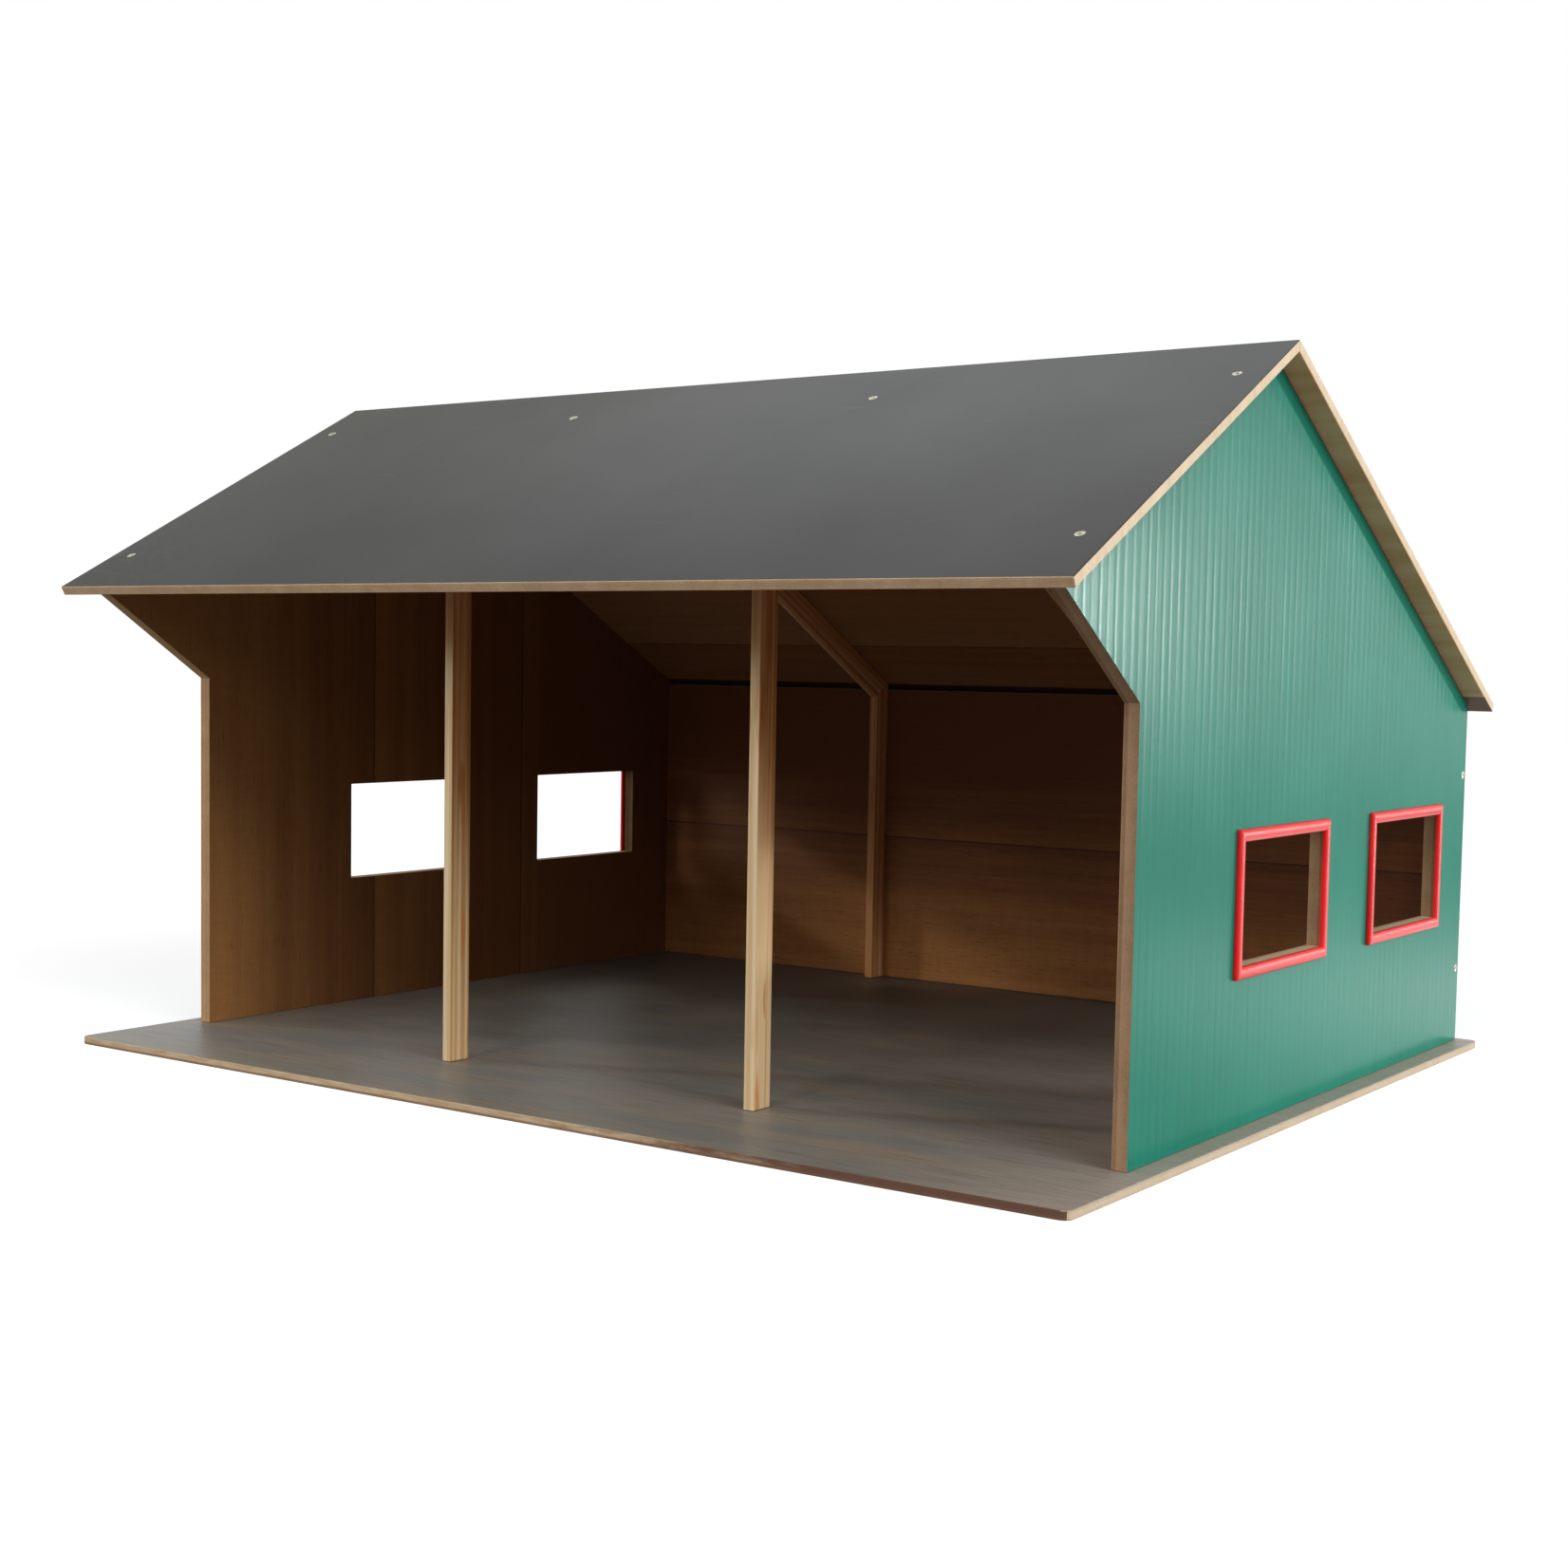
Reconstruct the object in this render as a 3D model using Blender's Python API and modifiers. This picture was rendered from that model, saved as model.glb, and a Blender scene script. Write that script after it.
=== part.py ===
"""Toy farm shed with an open front and three bays, at full size in metres, +Z up.

X runs from the left gable to the right one, Y from the open front to the back wall.
The ground is at Z zero, and X and Y are zero at the middle of the shed's outer box.
"""

import math

import bmesh
import bpy
from mathutils import Matrix

# Base board
base_width = 0.750
base_depth = 0.625
base_thickness = 0.005
base_corner_radius = 0.006

# Gable walls and back wall, all of one board
board_thickness = 0.009
gable_inset = 0.014
front_setback = 0.091
rear_setback = 0.007
knee_height = 0.243
nose_reach = 0.091

# Ridge and roof
ridge_height = 0.439
ridge_setback = 0.251
roof_pitch = math.radians(28.5)
roof_thickness = 0.006
roof_side_overhang = 0.0145
eave_overhang = 0.012
rear_overhang = 0.011

# Two inner frames of square-cut strip, one at each bay division
strip_width = 0.007
strip_depth = 0.017
left_frame_x = -0.1225
right_frame_x = 0.1185

# Windows, with their middles as shares of the gable's foot and their sills above the base board
window_width = 0.122
window_height = 0.071
sill_height = 0.0933
front_window_share = 0.372
rear_window_share = 0.770
window_frame_bar = 0.0072
window_frame_thickness = 0.003
window_frame_corner_radius = 0.0025
window_frame_rounding = 0.0010

# Countersunk wood screws
head_radius = 0.0028
head_rim = 0.0004
countersink_depth = 0.0018
shank_radius = 0.0012
screw_length = 0.018
screw_tip_length = 0.003
head_sink = 0.0002
recess_span = 0.0032
recess_width = 0.0009
recess_depth = 0.0010

# Places of the screws
ridge_row_distance = 0.047
eave_row_distance = 0.048
wall_screw_height_shares = (0.216, 0.792)
gable_foot_screw_shares = (0.12, 0.5, 0.88)
wall_foot_screw_shares = (-0.68, 0.0, 0.68)

# Clearances and small finishing sizes
clearance = 0.0003
overrun = 0.004
eased_edge = 0.0004
weld_distance = 0.00001

# Counts and angles
corner_steps = 6
rounding_segments = 3
turning_steps = 16
spin_step = math.radians(37)
flat_angle = math.radians(1)
sharp_angle = math.radians(30)

# Finishes, each a linear colour with a roughness and a metallic share
grey_board_look = ((0.155, 0.135, 0.115), 0.60, 0.0)
green_paint_look = ((0.085, 0.285, 0.215), 0.35, 0.0)
brown_veneer_look = ((0.085, 0.045, 0.022), 0.50, 0.0)
roof_paint_look = ((0.120, 0.122, 0.115), 0.45, 0.0)
raw_strip_look = ((0.500, 0.380, 0.230), 0.65, 0.0)
red_plastic_look = ((0.620, 0.022, 0.030), 0.30, 0.0)
zinc_look = ((0.560, 0.540, 0.470), 0.40, 0.8)

# Places that follow from the sizes
sin_pitch = math.sin(roof_pitch)
cos_pitch = math.cos(roof_pitch)
tan_pitch = math.tan(roof_pitch)
roof_under_lift = clearance
roof_top_lift = clearance + roof_thickness
nose_distance = ridge_setback - front_setback + nose_reach
rear_distance = base_depth - rear_setback - ridge_setback
front_panel_run = nose_distance / cos_pitch + eave_overhang
rear_panel_run = rear_distance / cos_pitch + rear_overhang
front_reach = front_panel_run * cos_pitch + roof_top_lift * sin_pitch
rear_reach = rear_panel_run * cos_pitch + roof_top_lift * sin_pitch
ridge_y = (front_reach - rear_reach) / 2
ridge_z = base_thickness + ridge_height
base_front_y = ridge_y - ridge_setback
base_rear_y = base_front_y + base_depth
front_edge_y = base_front_y + front_setback
rear_edge_y = base_rear_y - rear_setback
foot_length = rear_edge_y - front_edge_y
foot_z = base_thickness + clearance
gable_outer_x = base_width / 2 - gable_inset
gable_middle_x = gable_outer_x - board_thickness / 2
gable_inner_x = gable_outer_x - board_thickness
wall_inner_y = rear_edge_y - board_thickness
wall_middle_y = rear_edge_y - board_thickness / 2
roof_half_length = gable_outer_x + roof_side_overhang
front_post_rear_y = front_edge_y + strip_depth
rear_post_rear_y = wall_inner_y - clearance
rear_post_front_y = rear_post_rear_y - strip_depth
rafter_drop = strip_depth / cos_pitch
window_bottom_z = base_thickness + sill_height
window_middle_z = window_bottom_z + window_height / 2


def clear_scene():
    for obj in list(bpy.data.objects):
        bpy.data.objects.remove(obj, do_unlink=True)


def new_collection(name):
    collection = bpy.data.collections.new(name)
    bpy.context.scene.collection.children.link(collection)
    return collection


clear_scene()
shed_parts = new_collection("toy_farm_shed")
shed_cutters = new_collection("cutters")
shed_origin = bpy.data.objects.new("shed_origin", None)
shed_parts.objects.link(shed_origin)


# Finishes


def principled(name, look):
    colour, roughness, metallic = look
    material = bpy.data.materials.new(name)
    material.use_nodes = True
    shader = material.node_tree.nodes["Principled BSDF"]
    shader.inputs["Base Color"].default_value = (*colour, 1.0)
    shader.inputs["Roughness"].default_value = roughness
    shader.inputs["Metallic"].default_value = metallic
    return material


def grey_board(name):
    return principled(name + "_grey_board", grey_board_look)


def green_paint(name):
    return principled(name + "_green_paint", green_paint_look)


def brown_veneer(name):
    return principled(name + "_brown_veneer", brown_veneer_look)


def roof_paint(name):
    return principled(name + "_roof_paint", roof_paint_look)


def raw_strip(name):
    return principled(name + "_raw_strip", raw_strip_look)


def red_plastic(name):
    return principled(name + "_red_plastic", red_plastic_look)


def zinc(name):
    return principled(name + "_zinc", zinc_look)


# Objects


def add_part(name, mesh, finish):
    part = bpy.data.objects.new(name, mesh)
    part.parent = shed_origin
    mesh.materials.clear()
    mesh.materials.append(finish(name))
    shed_parts.objects.link(part)
    return part


def add_cutter(name, mesh):
    cutter = bpy.data.objects.new(name, mesh)
    cutter.hide_render = True
    cutter.display_type = "WIRE"
    shed_cutters.objects.link(cutter)
    return cutter


def box_cutter(name, middle, width, depth, height):
    """A box cutter from its middle and its sizes along X, Y and Z."""
    bm = bmesh.new()
    place = Matrix.Translation(middle) @ Matrix.Diagonal((width, depth, height, 1.0))
    bmesh.ops.create_cube(bm, size=1.0, matrix=place)
    mesh = bpy.data.meshes.new(name)
    bm.to_mesh(mesh)
    bm.free()
    return add_cutter(name, mesh)


def take_mesh(obj, name):
    """Turn an object, with its modifiers, into a mesh of its own and remove the object."""
    bpy.context.view_layer.update()
    depsgraph = bpy.context.evaluated_depsgraph_get()
    mesh = bpy.data.meshes.new_from_object(obj.evaluated_get(depsgraph))
    mesh.name = name
    bpy.data.objects.remove(obj, do_unlink=True)
    return mesh


def ease_edges(part, width, segments):
    bevel = part.modifiers.new("eased_edges", "BEVEL")
    bevel.width = width
    bevel.segments = segments
    bevel.limit_method = "ANGLE"
    bevel.angle_limit = sharp_angle


def cut(part, cutter):
    boolean = part.modifiers.new("cut_" + cutter.name, "BOOLEAN")
    boolean.operation = "DIFFERENCE"
    boolean.solver = "EXACT"
    boolean.object = cutter


# Outlines


def outline_mesh(name, loops, thickness):
    """A flat plate from closed loops of points, the first its edge and the others its holes."""
    curve = bpy.data.curves.new(name, "CURVE")
    curve.dimensions = "2D"
    curve.fill_mode = "BOTH"
    curve.extrude = thickness / 2
    for loop in loops:
        spline = curve.splines.new("POLY")
        spline.points.add(len(loop) - 1)
        for point, (across, up) in zip(spline.points, loop):
            point.co = (across, up, 0.0, 1.0)
        spline.use_cyclic_u = True
    holder = bpy.data.objects.new(name, curve)
    shed_parts.objects.link(holder)
    mesh = take_mesh(holder, name)
    bpy.data.curves.remove(curve)
    weld(mesh)
    return mesh


def weld(mesh):
    """Join the loose caps to the sides and merge what lies flat."""
    bm = bmesh.new()
    bm.from_mesh(mesh)
    bmesh.ops.remove_doubles(bm, verts=bm.verts, dist=weld_distance)
    bmesh.ops.dissolve_limit(bm, angle_limit=flat_angle, verts=bm.verts, edges=bm.edges)
    bmesh.ops.recalc_face_normals(bm, faces=bm.faces)
    bm.to_mesh(mesh)
    bm.free()


def rectangle(middle_across, middle_up, width, height):
    left = middle_across - width / 2
    right = middle_across + width / 2
    bottom = middle_up - height / 2
    top = middle_up + height / 2
    return [(left, bottom), (right, bottom), (right, top), (left, top)]


def rounded_rectangle(middle_across, middle_up, width, height, radius):
    """A rectangle whose corners are quarter circles."""
    inner = rectangle(middle_across, middle_up, width - 2 * radius, height - 2 * radius)
    points = []
    for corner, (across, up) in enumerate(inner):
        for step in range(corner_steps + 1):
            angle = math.pi + (corner + step / corner_steps) * math.pi / 2
            points.append((across + radius * math.cos(angle), up + radius * math.sin(angle)))
    return points


def stand_along_x(part, middle_x):
    """Turn a flat plate so that its outline reads as Y and Z, with its thickness along X."""
    part.rotation_euler = (math.pi / 2, 0.0, math.pi / 2)
    part.location = (middle_x, 0.0, 0.0)


# The slope lines, along which the walls and rafters carry the roof


def slope_height(y):
    return ridge_z - abs(y - ridge_y) * tan_pitch


def slope_point(side, run, lift):
    """Y and Z at a run down the slope and a lift square to it, on the front (-1) or rear (1)."""
    y = ridge_y + side * (run * cos_pitch + lift * sin_pitch)
    z = ridge_z - run * sin_pitch + lift * cos_pitch
    return (y, z)


def mitre_run(lift):
    """Run at which a lift above the slope line meets the upright joint at the ridge."""
    return (clearance / 2 - lift * sin_pitch) / cos_pitch


# Base board


def build_base_board():
    outline = rounded_rectangle(0.0, base_front_y + base_depth / 2, base_width, base_depth, base_corner_radius)
    mesh = outline_mesh("base_board", [outline], base_thickness)
    base = add_part("base_board", mesh, grey_board)
    base.location = (0.0, 0.0, base_thickness / 2)
    ease_edges(base, eased_edge, 1)
    return base


# Walls


def window_middle_y(share):
    return front_edge_y + share * foot_length


def gable_outline():
    nose_y = ridge_y - nose_distance
    return [
        (front_edge_y, foot_z),
        (rear_edge_y, foot_z),
        (rear_edge_y, slope_height(rear_edge_y)),
        (ridge_y, ridge_z),
        (nose_y, slope_height(nose_y)),
        (front_edge_y, base_thickness + knee_height),
    ]


def build_gable_wall(name, side):
    gable = add_part(name, outline_mesh(name, [gable_outline()], board_thickness), green_paint)
    stand_along_x(gable, side * gable_middle_x)
    ease_edges(gable, eased_edge, 1)
    return gable


def build_window_hole(name, share):
    """A box through both gables."""
    middle = (0.0, window_middle_y(share), window_middle_z)
    return box_cutter(name, middle, 2 * (gable_outer_x + overrun), window_width, window_height)


def build_back_wall():
    width = 2 * (gable_inner_x - clearance)
    top = slope_height(rear_edge_y)
    outline = rectangle(wall_middle_y, (foot_z + top) / 2, board_thickness, top - foot_z)
    wall = add_part("back_wall", outline_mesh("back_wall", [outline], width), brown_veneer)
    stand_along_x(wall, 0.0)
    ease_edges(wall, eased_edge, 1)
    return wall


# Roof


def roof_panel_outline(side, run):
    return [
        slope_point(side, mitre_run(roof_under_lift), roof_under_lift),
        slope_point(side, mitre_run(roof_top_lift), roof_top_lift),
        slope_point(side, run, roof_top_lift),
        slope_point(side, run, roof_under_lift),
    ]


def build_roof_panel(name, side, run):
    mesh = outline_mesh(name, [roof_panel_outline(side, run)], 2 * roof_half_length)
    panel = add_part(name, mesh, roof_paint)
    stand_along_x(panel, 0.0)
    ease_edges(panel, eased_edge, 1)
    return panel


# Posts and rafters


def front_post_outline():
    return [
        (front_edge_y, foot_z),
        (front_post_rear_y, foot_z),
        (front_post_rear_y, slope_height(front_post_rear_y)),
        (front_edge_y, slope_height(front_edge_y)),
    ]


def rear_post_outline():
    return [
        (rear_post_front_y, foot_z),
        (rear_post_rear_y, foot_z),
        (rear_post_rear_y, slope_height(rear_post_rear_y) - clearance),
        (rear_post_front_y, slope_height(rear_post_front_y) - rafter_drop - clearance),
    ]


def front_rafter_outline():
    low_y = front_post_rear_y + clearance
    high_y = ridge_y - clearance / 2
    return [
        (low_y, slope_height(low_y) - rafter_drop),
        (high_y, slope_height(high_y) - rafter_drop),
        (high_y, slope_height(high_y)),
        (low_y, slope_height(low_y)),
    ]


def rear_rafter_outline():
    """The rear rafter ends in a mitre on the rear post."""
    high_y = ridge_y + clearance / 2
    return [
        (high_y, slope_height(high_y) - rafter_drop),
        (rear_post_front_y, slope_height(rear_post_front_y) - rafter_drop),
        (rear_post_rear_y, slope_height(rear_post_rear_y)),
        (high_y, slope_height(high_y)),
    ]


def build_strip(name, outline, middle_x):
    strip = add_part(name, outline_mesh(name, [outline], strip_width), raw_strip)
    stand_along_x(strip, middle_x)
    ease_edges(strip, eased_edge, 1)
    return strip


# Window frames


def mark_face_edges(mesh):
    """Give the edges round the frame's outer face the bevel weight that rounds them."""
    bm = bmesh.new()
    bm.from_mesh(mesh)
    weights = bm.edges.layers.float.new("bevel_weight_edge")
    for edge in bm.edges:
        on_face = all(vert.co.z > 0 for vert in edge.verts)
        sharp = edge.calc_face_angle(0.0) > sharp_angle
        edge[weights] = 1.0 if on_face and sharp else 0.0
    bm.to_mesh(mesh)
    bm.free()


def build_window_frame(name, side, share):
    middle_y = window_middle_y(share)
    outer_width = window_width + 2 * window_frame_bar
    outer_height = window_height + 2 * window_frame_bar
    edge = rounded_rectangle(0.0, window_middle_z, outer_width, outer_height, window_frame_corner_radius)
    hole = rectangle(0.0, window_middle_z, window_width, window_height)
    mesh = outline_mesh(name, [edge, hole], window_frame_thickness)
    mark_face_edges(mesh)
    frame = add_part(name, mesh, red_plastic)
    frame.rotation_euler = (math.pi / 2, 0.0, side * math.pi / 2)
    frame.location = (side * (gable_outer_x + clearance + window_frame_thickness / 2), middle_y, 0.0)
    rounding = frame.modifiers.new("rounded_face", "BEVEL")
    rounding.width = window_frame_rounding
    rounding.segments = rounding_segments
    rounding.limit_method = "WEIGHT"
    return frame


# Screws and their holes


def turned_object(name, profile):
    """A profile of radius and height, run down its outer side and turned about Z."""
    mesh = bpy.data.meshes.new(name)
    edges = [(index, index + 1) for index in range(len(profile) - 1)]
    mesh.from_pydata([(radius, 0.0, height) for radius, height in profile], edges, [])
    turned = bpy.data.objects.new(name, mesh)
    shed_cutters.objects.link(turned)
    screw = turned.modifiers.new("turned", "SCREW")
    screw.steps = turning_steps
    screw.render_steps = turning_steps
    screw.use_merge_vertices = True
    screw.merge_threshold = weld_distance
    return turned


def screw_profile():
    cone_end = head_rim + countersink_depth
    return [
        (0.0, 0.0),
        (head_radius, 0.0),
        (head_radius, -head_rim),
        (shank_radius, -cone_end),
        (shank_radius, screw_tip_length - screw_length),
        (0.0, -screw_length),
    ]


def hole_profile():
    """The screw's own profile, wider and deeper by the clearance and open past the surface."""
    cone_end = head_rim + countersink_depth + clearance
    return [
        (0.0, overrun),
        (head_radius + clearance, overrun),
        (head_radius + clearance, -head_rim - clearance),
        (shank_radius + clearance, -cone_end),
        (shank_radius + clearance, -screw_length - clearance),
        (0.0, -screw_length - clearance),
    ]


def screw_mesh():
    screw = turned_object("screw", screw_profile())
    top = (0.0, 0.0, 0.0)
    long_arm = box_cutter("recess_arm_x", top, recess_span, recess_width, 2 * recess_depth)
    cross_arm = box_cutter("recess_arm_y", top, recess_width, recess_span, 2 * recess_depth)
    cut(screw, long_arm)
    cut(screw, cross_arm)
    mesh = take_mesh(screw, "screw")
    bpy.data.objects.remove(long_arm, do_unlink=True)
    bpy.data.objects.remove(cross_arm, do_unlink=True)
    mesh.materials.append(zinc("screw"))
    return mesh


def copies_mesh(name, pattern, places):
    """One mesh that holds a copy of the pattern, as a separate solid, at each place."""
    bm = bmesh.new()
    for place in places:
        copy = pattern.copy()
        copy.transform(place)
        bm.from_mesh(copy)
        bpy.data.meshes.remove(copy)
    mesh = bpy.data.meshes.new(name)
    bm.to_mesh(mesh)
    bm.free()
    return mesh


def roof_screw_places(side, run):
    """Four screws below the ridge, into gables and rafters, and two near the low edge."""
    high_run = mitre_run(roof_top_lift) + ridge_row_distance
    low_run = run - eave_row_distance
    spots = [(x, high_run) for x in (-gable_middle_x, left_frame_x, right_frame_x, gable_middle_x)]
    spots += [(x, low_run) for x in (-gable_middle_x, gable_middle_x)]
    places = []
    for index, (x, spot_run) in enumerate(spots):
        y, z = slope_point(side, spot_run, roof_top_lift - head_sink)
        tilt = Matrix.Rotation(-side * roof_pitch, 4, "X")
        spin = Matrix.Rotation(index * spin_step, 4, "Z")
        places.append(Matrix.Translation((x, y, z)) @ tilt @ spin)
    return places


def gable_screw_places(side):
    """Two screws through a gable into the end of the back wall."""
    wall_height = slope_height(rear_edge_y) - foot_z
    places = []
    for index, share in enumerate(wall_screw_height_shares):
        spot = (side * (gable_outer_x - head_sink), wall_middle_y, foot_z + share * wall_height)
        turn = Matrix.Rotation(side * math.pi / 2, 4, "Y")
        spin = Matrix.Rotation(index * spin_step, 4, "Z")
        places.append(Matrix.Translation(spot) @ turn @ spin)
    return places


def base_screw_spots():
    spots = []
    for x in (-gable_middle_x, gable_middle_x):
        for share in gable_foot_screw_shares:
            spots.append((x, front_edge_y + share * foot_length))
    for share in wall_foot_screw_shares:
        spots.append((share * gable_inner_x, wall_middle_y))
    for x in (left_frame_x, right_frame_x):
        spots.append((x, front_edge_y + strip_depth / 2))
        spots.append((x, rear_post_rear_y - strip_depth / 2))
    return spots


def base_screw_places():
    """Screws from below the base board into the walls and posts."""
    places = []
    for index, (x, y) in enumerate(base_screw_spots()):
        flip = Matrix.Rotation(math.pi, 4, "X")
        spin = Matrix.Rotation(index * spin_step, 4, "Z")
        places.append(Matrix.Translation((x, y, head_sink)) @ flip @ spin)
    return places


def build_screws(word, mesh, places):
    """Screws that share one mesh, each an object of its own at its place."""
    for index, place in enumerate(places):
        screw = bpy.data.objects.new(f"{word}_screw_{index + 1}", mesh)
        screw.parent = shed_origin
        screw.location = place.to_translation()
        screw.rotation_euler = place.to_euler()
        shed_parts.objects.link(screw)


def build_holes(word, pattern, places):
    return add_cutter(word + "_screw_holes", copies_mesh(word + "_screw_holes", pattern, places))


# Assembly


def build_shed():
    base = build_base_board()
    left_gable = build_gable_wall("left_gable_wall", -1)
    right_gable = build_gable_wall("right_gable_wall", 1)
    for word, share in (("front", front_window_share), ("rear", rear_window_share)):
        window_hole = build_window_hole(word + "_window_hole", share)
        cut(left_gable, window_hole)
        cut(right_gable, window_hole)
    wall = build_back_wall()
    front_panel = build_roof_panel("front_roof_panel", -1, front_panel_run)
    rear_panel = build_roof_panel("rear_roof_panel", 1, rear_panel_run)

    posts = []
    front_rafters = []
    rear_rafters = []
    for word, x in (("left", left_frame_x), ("right", right_frame_x)):
        posts.append(build_strip(word + "_front_post", front_post_outline(), x))
        posts.append(build_strip(word + "_rear_post", rear_post_outline(), x))
        front_rafters.append(build_strip(word + "_front_rafter", front_rafter_outline(), x))
        rear_rafters.append(build_strip(word + "_rear_rafter", rear_rafter_outline(), x))

    for word, side in (("left", -1), ("right", 1)):
        build_window_frame(word + "_front_window_frame", side, front_window_share)
        build_window_frame(word + "_rear_window_frame", side, rear_window_share)

    screw = screw_mesh()
    hole = take_mesh(turned_object("hole", hole_profile()), "hole")
    groups = (
        ("front_roof", roof_screw_places(-1, front_panel_run), [front_panel, left_gable, right_gable] + front_rafters),
        ("rear_roof", roof_screw_places(1, rear_panel_run), [rear_panel, left_gable, right_gable] + rear_rafters),
        ("left_gable", gable_screw_places(-1), [left_gable, wall]),
        ("right_gable", gable_screw_places(1), [right_gable, wall]),
        ("base", base_screw_places(), [base, left_gable, right_gable, wall] + posts),
    )
    for word, places, carriers in groups:
        build_screws(word, screw, places)
        holes = build_holes(word, hole, places)
        for carrier in carriers:
            cut(carrier, holes)


build_shed()
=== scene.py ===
"""Looks, light and camera for the toy farm shed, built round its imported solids.

Metres, +Z up. X runs from the left gable to the right one and Y from the open front to
the back wall. The ground is at Z zero.
"""

from __future__ import annotations

import logging
import math
from dataclasses import dataclass, field
from enum import Enum
from functools import cached_property
from typing import Callable, NamedTuple, Sequence, Union

import bmesh
import bpy
from mathutils import Matrix, Vector


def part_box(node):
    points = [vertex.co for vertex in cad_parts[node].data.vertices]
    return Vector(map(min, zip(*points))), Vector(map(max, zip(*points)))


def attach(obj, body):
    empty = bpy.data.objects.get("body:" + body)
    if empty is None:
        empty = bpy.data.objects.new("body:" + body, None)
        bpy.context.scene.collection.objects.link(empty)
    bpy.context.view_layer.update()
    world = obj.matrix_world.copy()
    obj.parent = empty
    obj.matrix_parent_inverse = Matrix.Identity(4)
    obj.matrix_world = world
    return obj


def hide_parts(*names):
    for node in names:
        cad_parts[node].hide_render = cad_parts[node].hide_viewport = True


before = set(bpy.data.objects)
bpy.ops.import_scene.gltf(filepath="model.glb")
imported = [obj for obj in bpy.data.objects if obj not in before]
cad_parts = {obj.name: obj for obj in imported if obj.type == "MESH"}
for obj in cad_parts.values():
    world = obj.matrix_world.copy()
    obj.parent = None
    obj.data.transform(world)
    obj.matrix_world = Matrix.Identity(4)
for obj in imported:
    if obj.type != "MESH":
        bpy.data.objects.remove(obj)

LOG = logging.getLogger("farm_shed")
BODY = "root"
ROOF_PITCH = math.radians(28.5)
FLAT_FACE = 0.70
ORIGIN = (0.0, 0.0, 0.0)
UP = (0.0, 0.0, 1.0)
WHITE = (1.0, 1.0, 1.0, 1.0)
MERGE_DISTANCE = 0.00005
LEAST_GAP = 4 * MERGE_DISTANCE
GROOVE_ANGLE = 12.0
PAINT_IOR = 1.155
WOOD_GLOSS = 0.12
SAW_MARKS = 0.00008
SQUARE_EDGE = 50.0

Socket = bpy.types.NodeSocket
Mesh = bpy.types.Mesh
Piece = bpy.types.Object
Colour = tuple[float, float, float]
Input = Union[Socket, float, int, Sequence[float]]


class Side(Enum):
    """Which gable a piece belongs to, with the way that its outer face looks along X."""

    LEFT = -1
    RIGHT = 1

    @property
    def word(self) -> str:
        """The side's word in the node names."""
        return self.name.lower()


class Axis(Enum):
    """The direction that a grain runs in, as an index into X, Y and Z."""

    X = 0
    Y = 1
    Z = 2


class Slot(Enum):
    """The record's material slots."""

    GABLE = "gable_board"
    BACK = "back_board"
    FRAME = "window_frame"


# Node graphs


def rgba(colour: Input) -> Input:
    """A colour with its alpha, or a link as it is."""
    return (*colour, 1.0) if isinstance(colour, tuple) and len(colour) == 3 else colour


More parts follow.
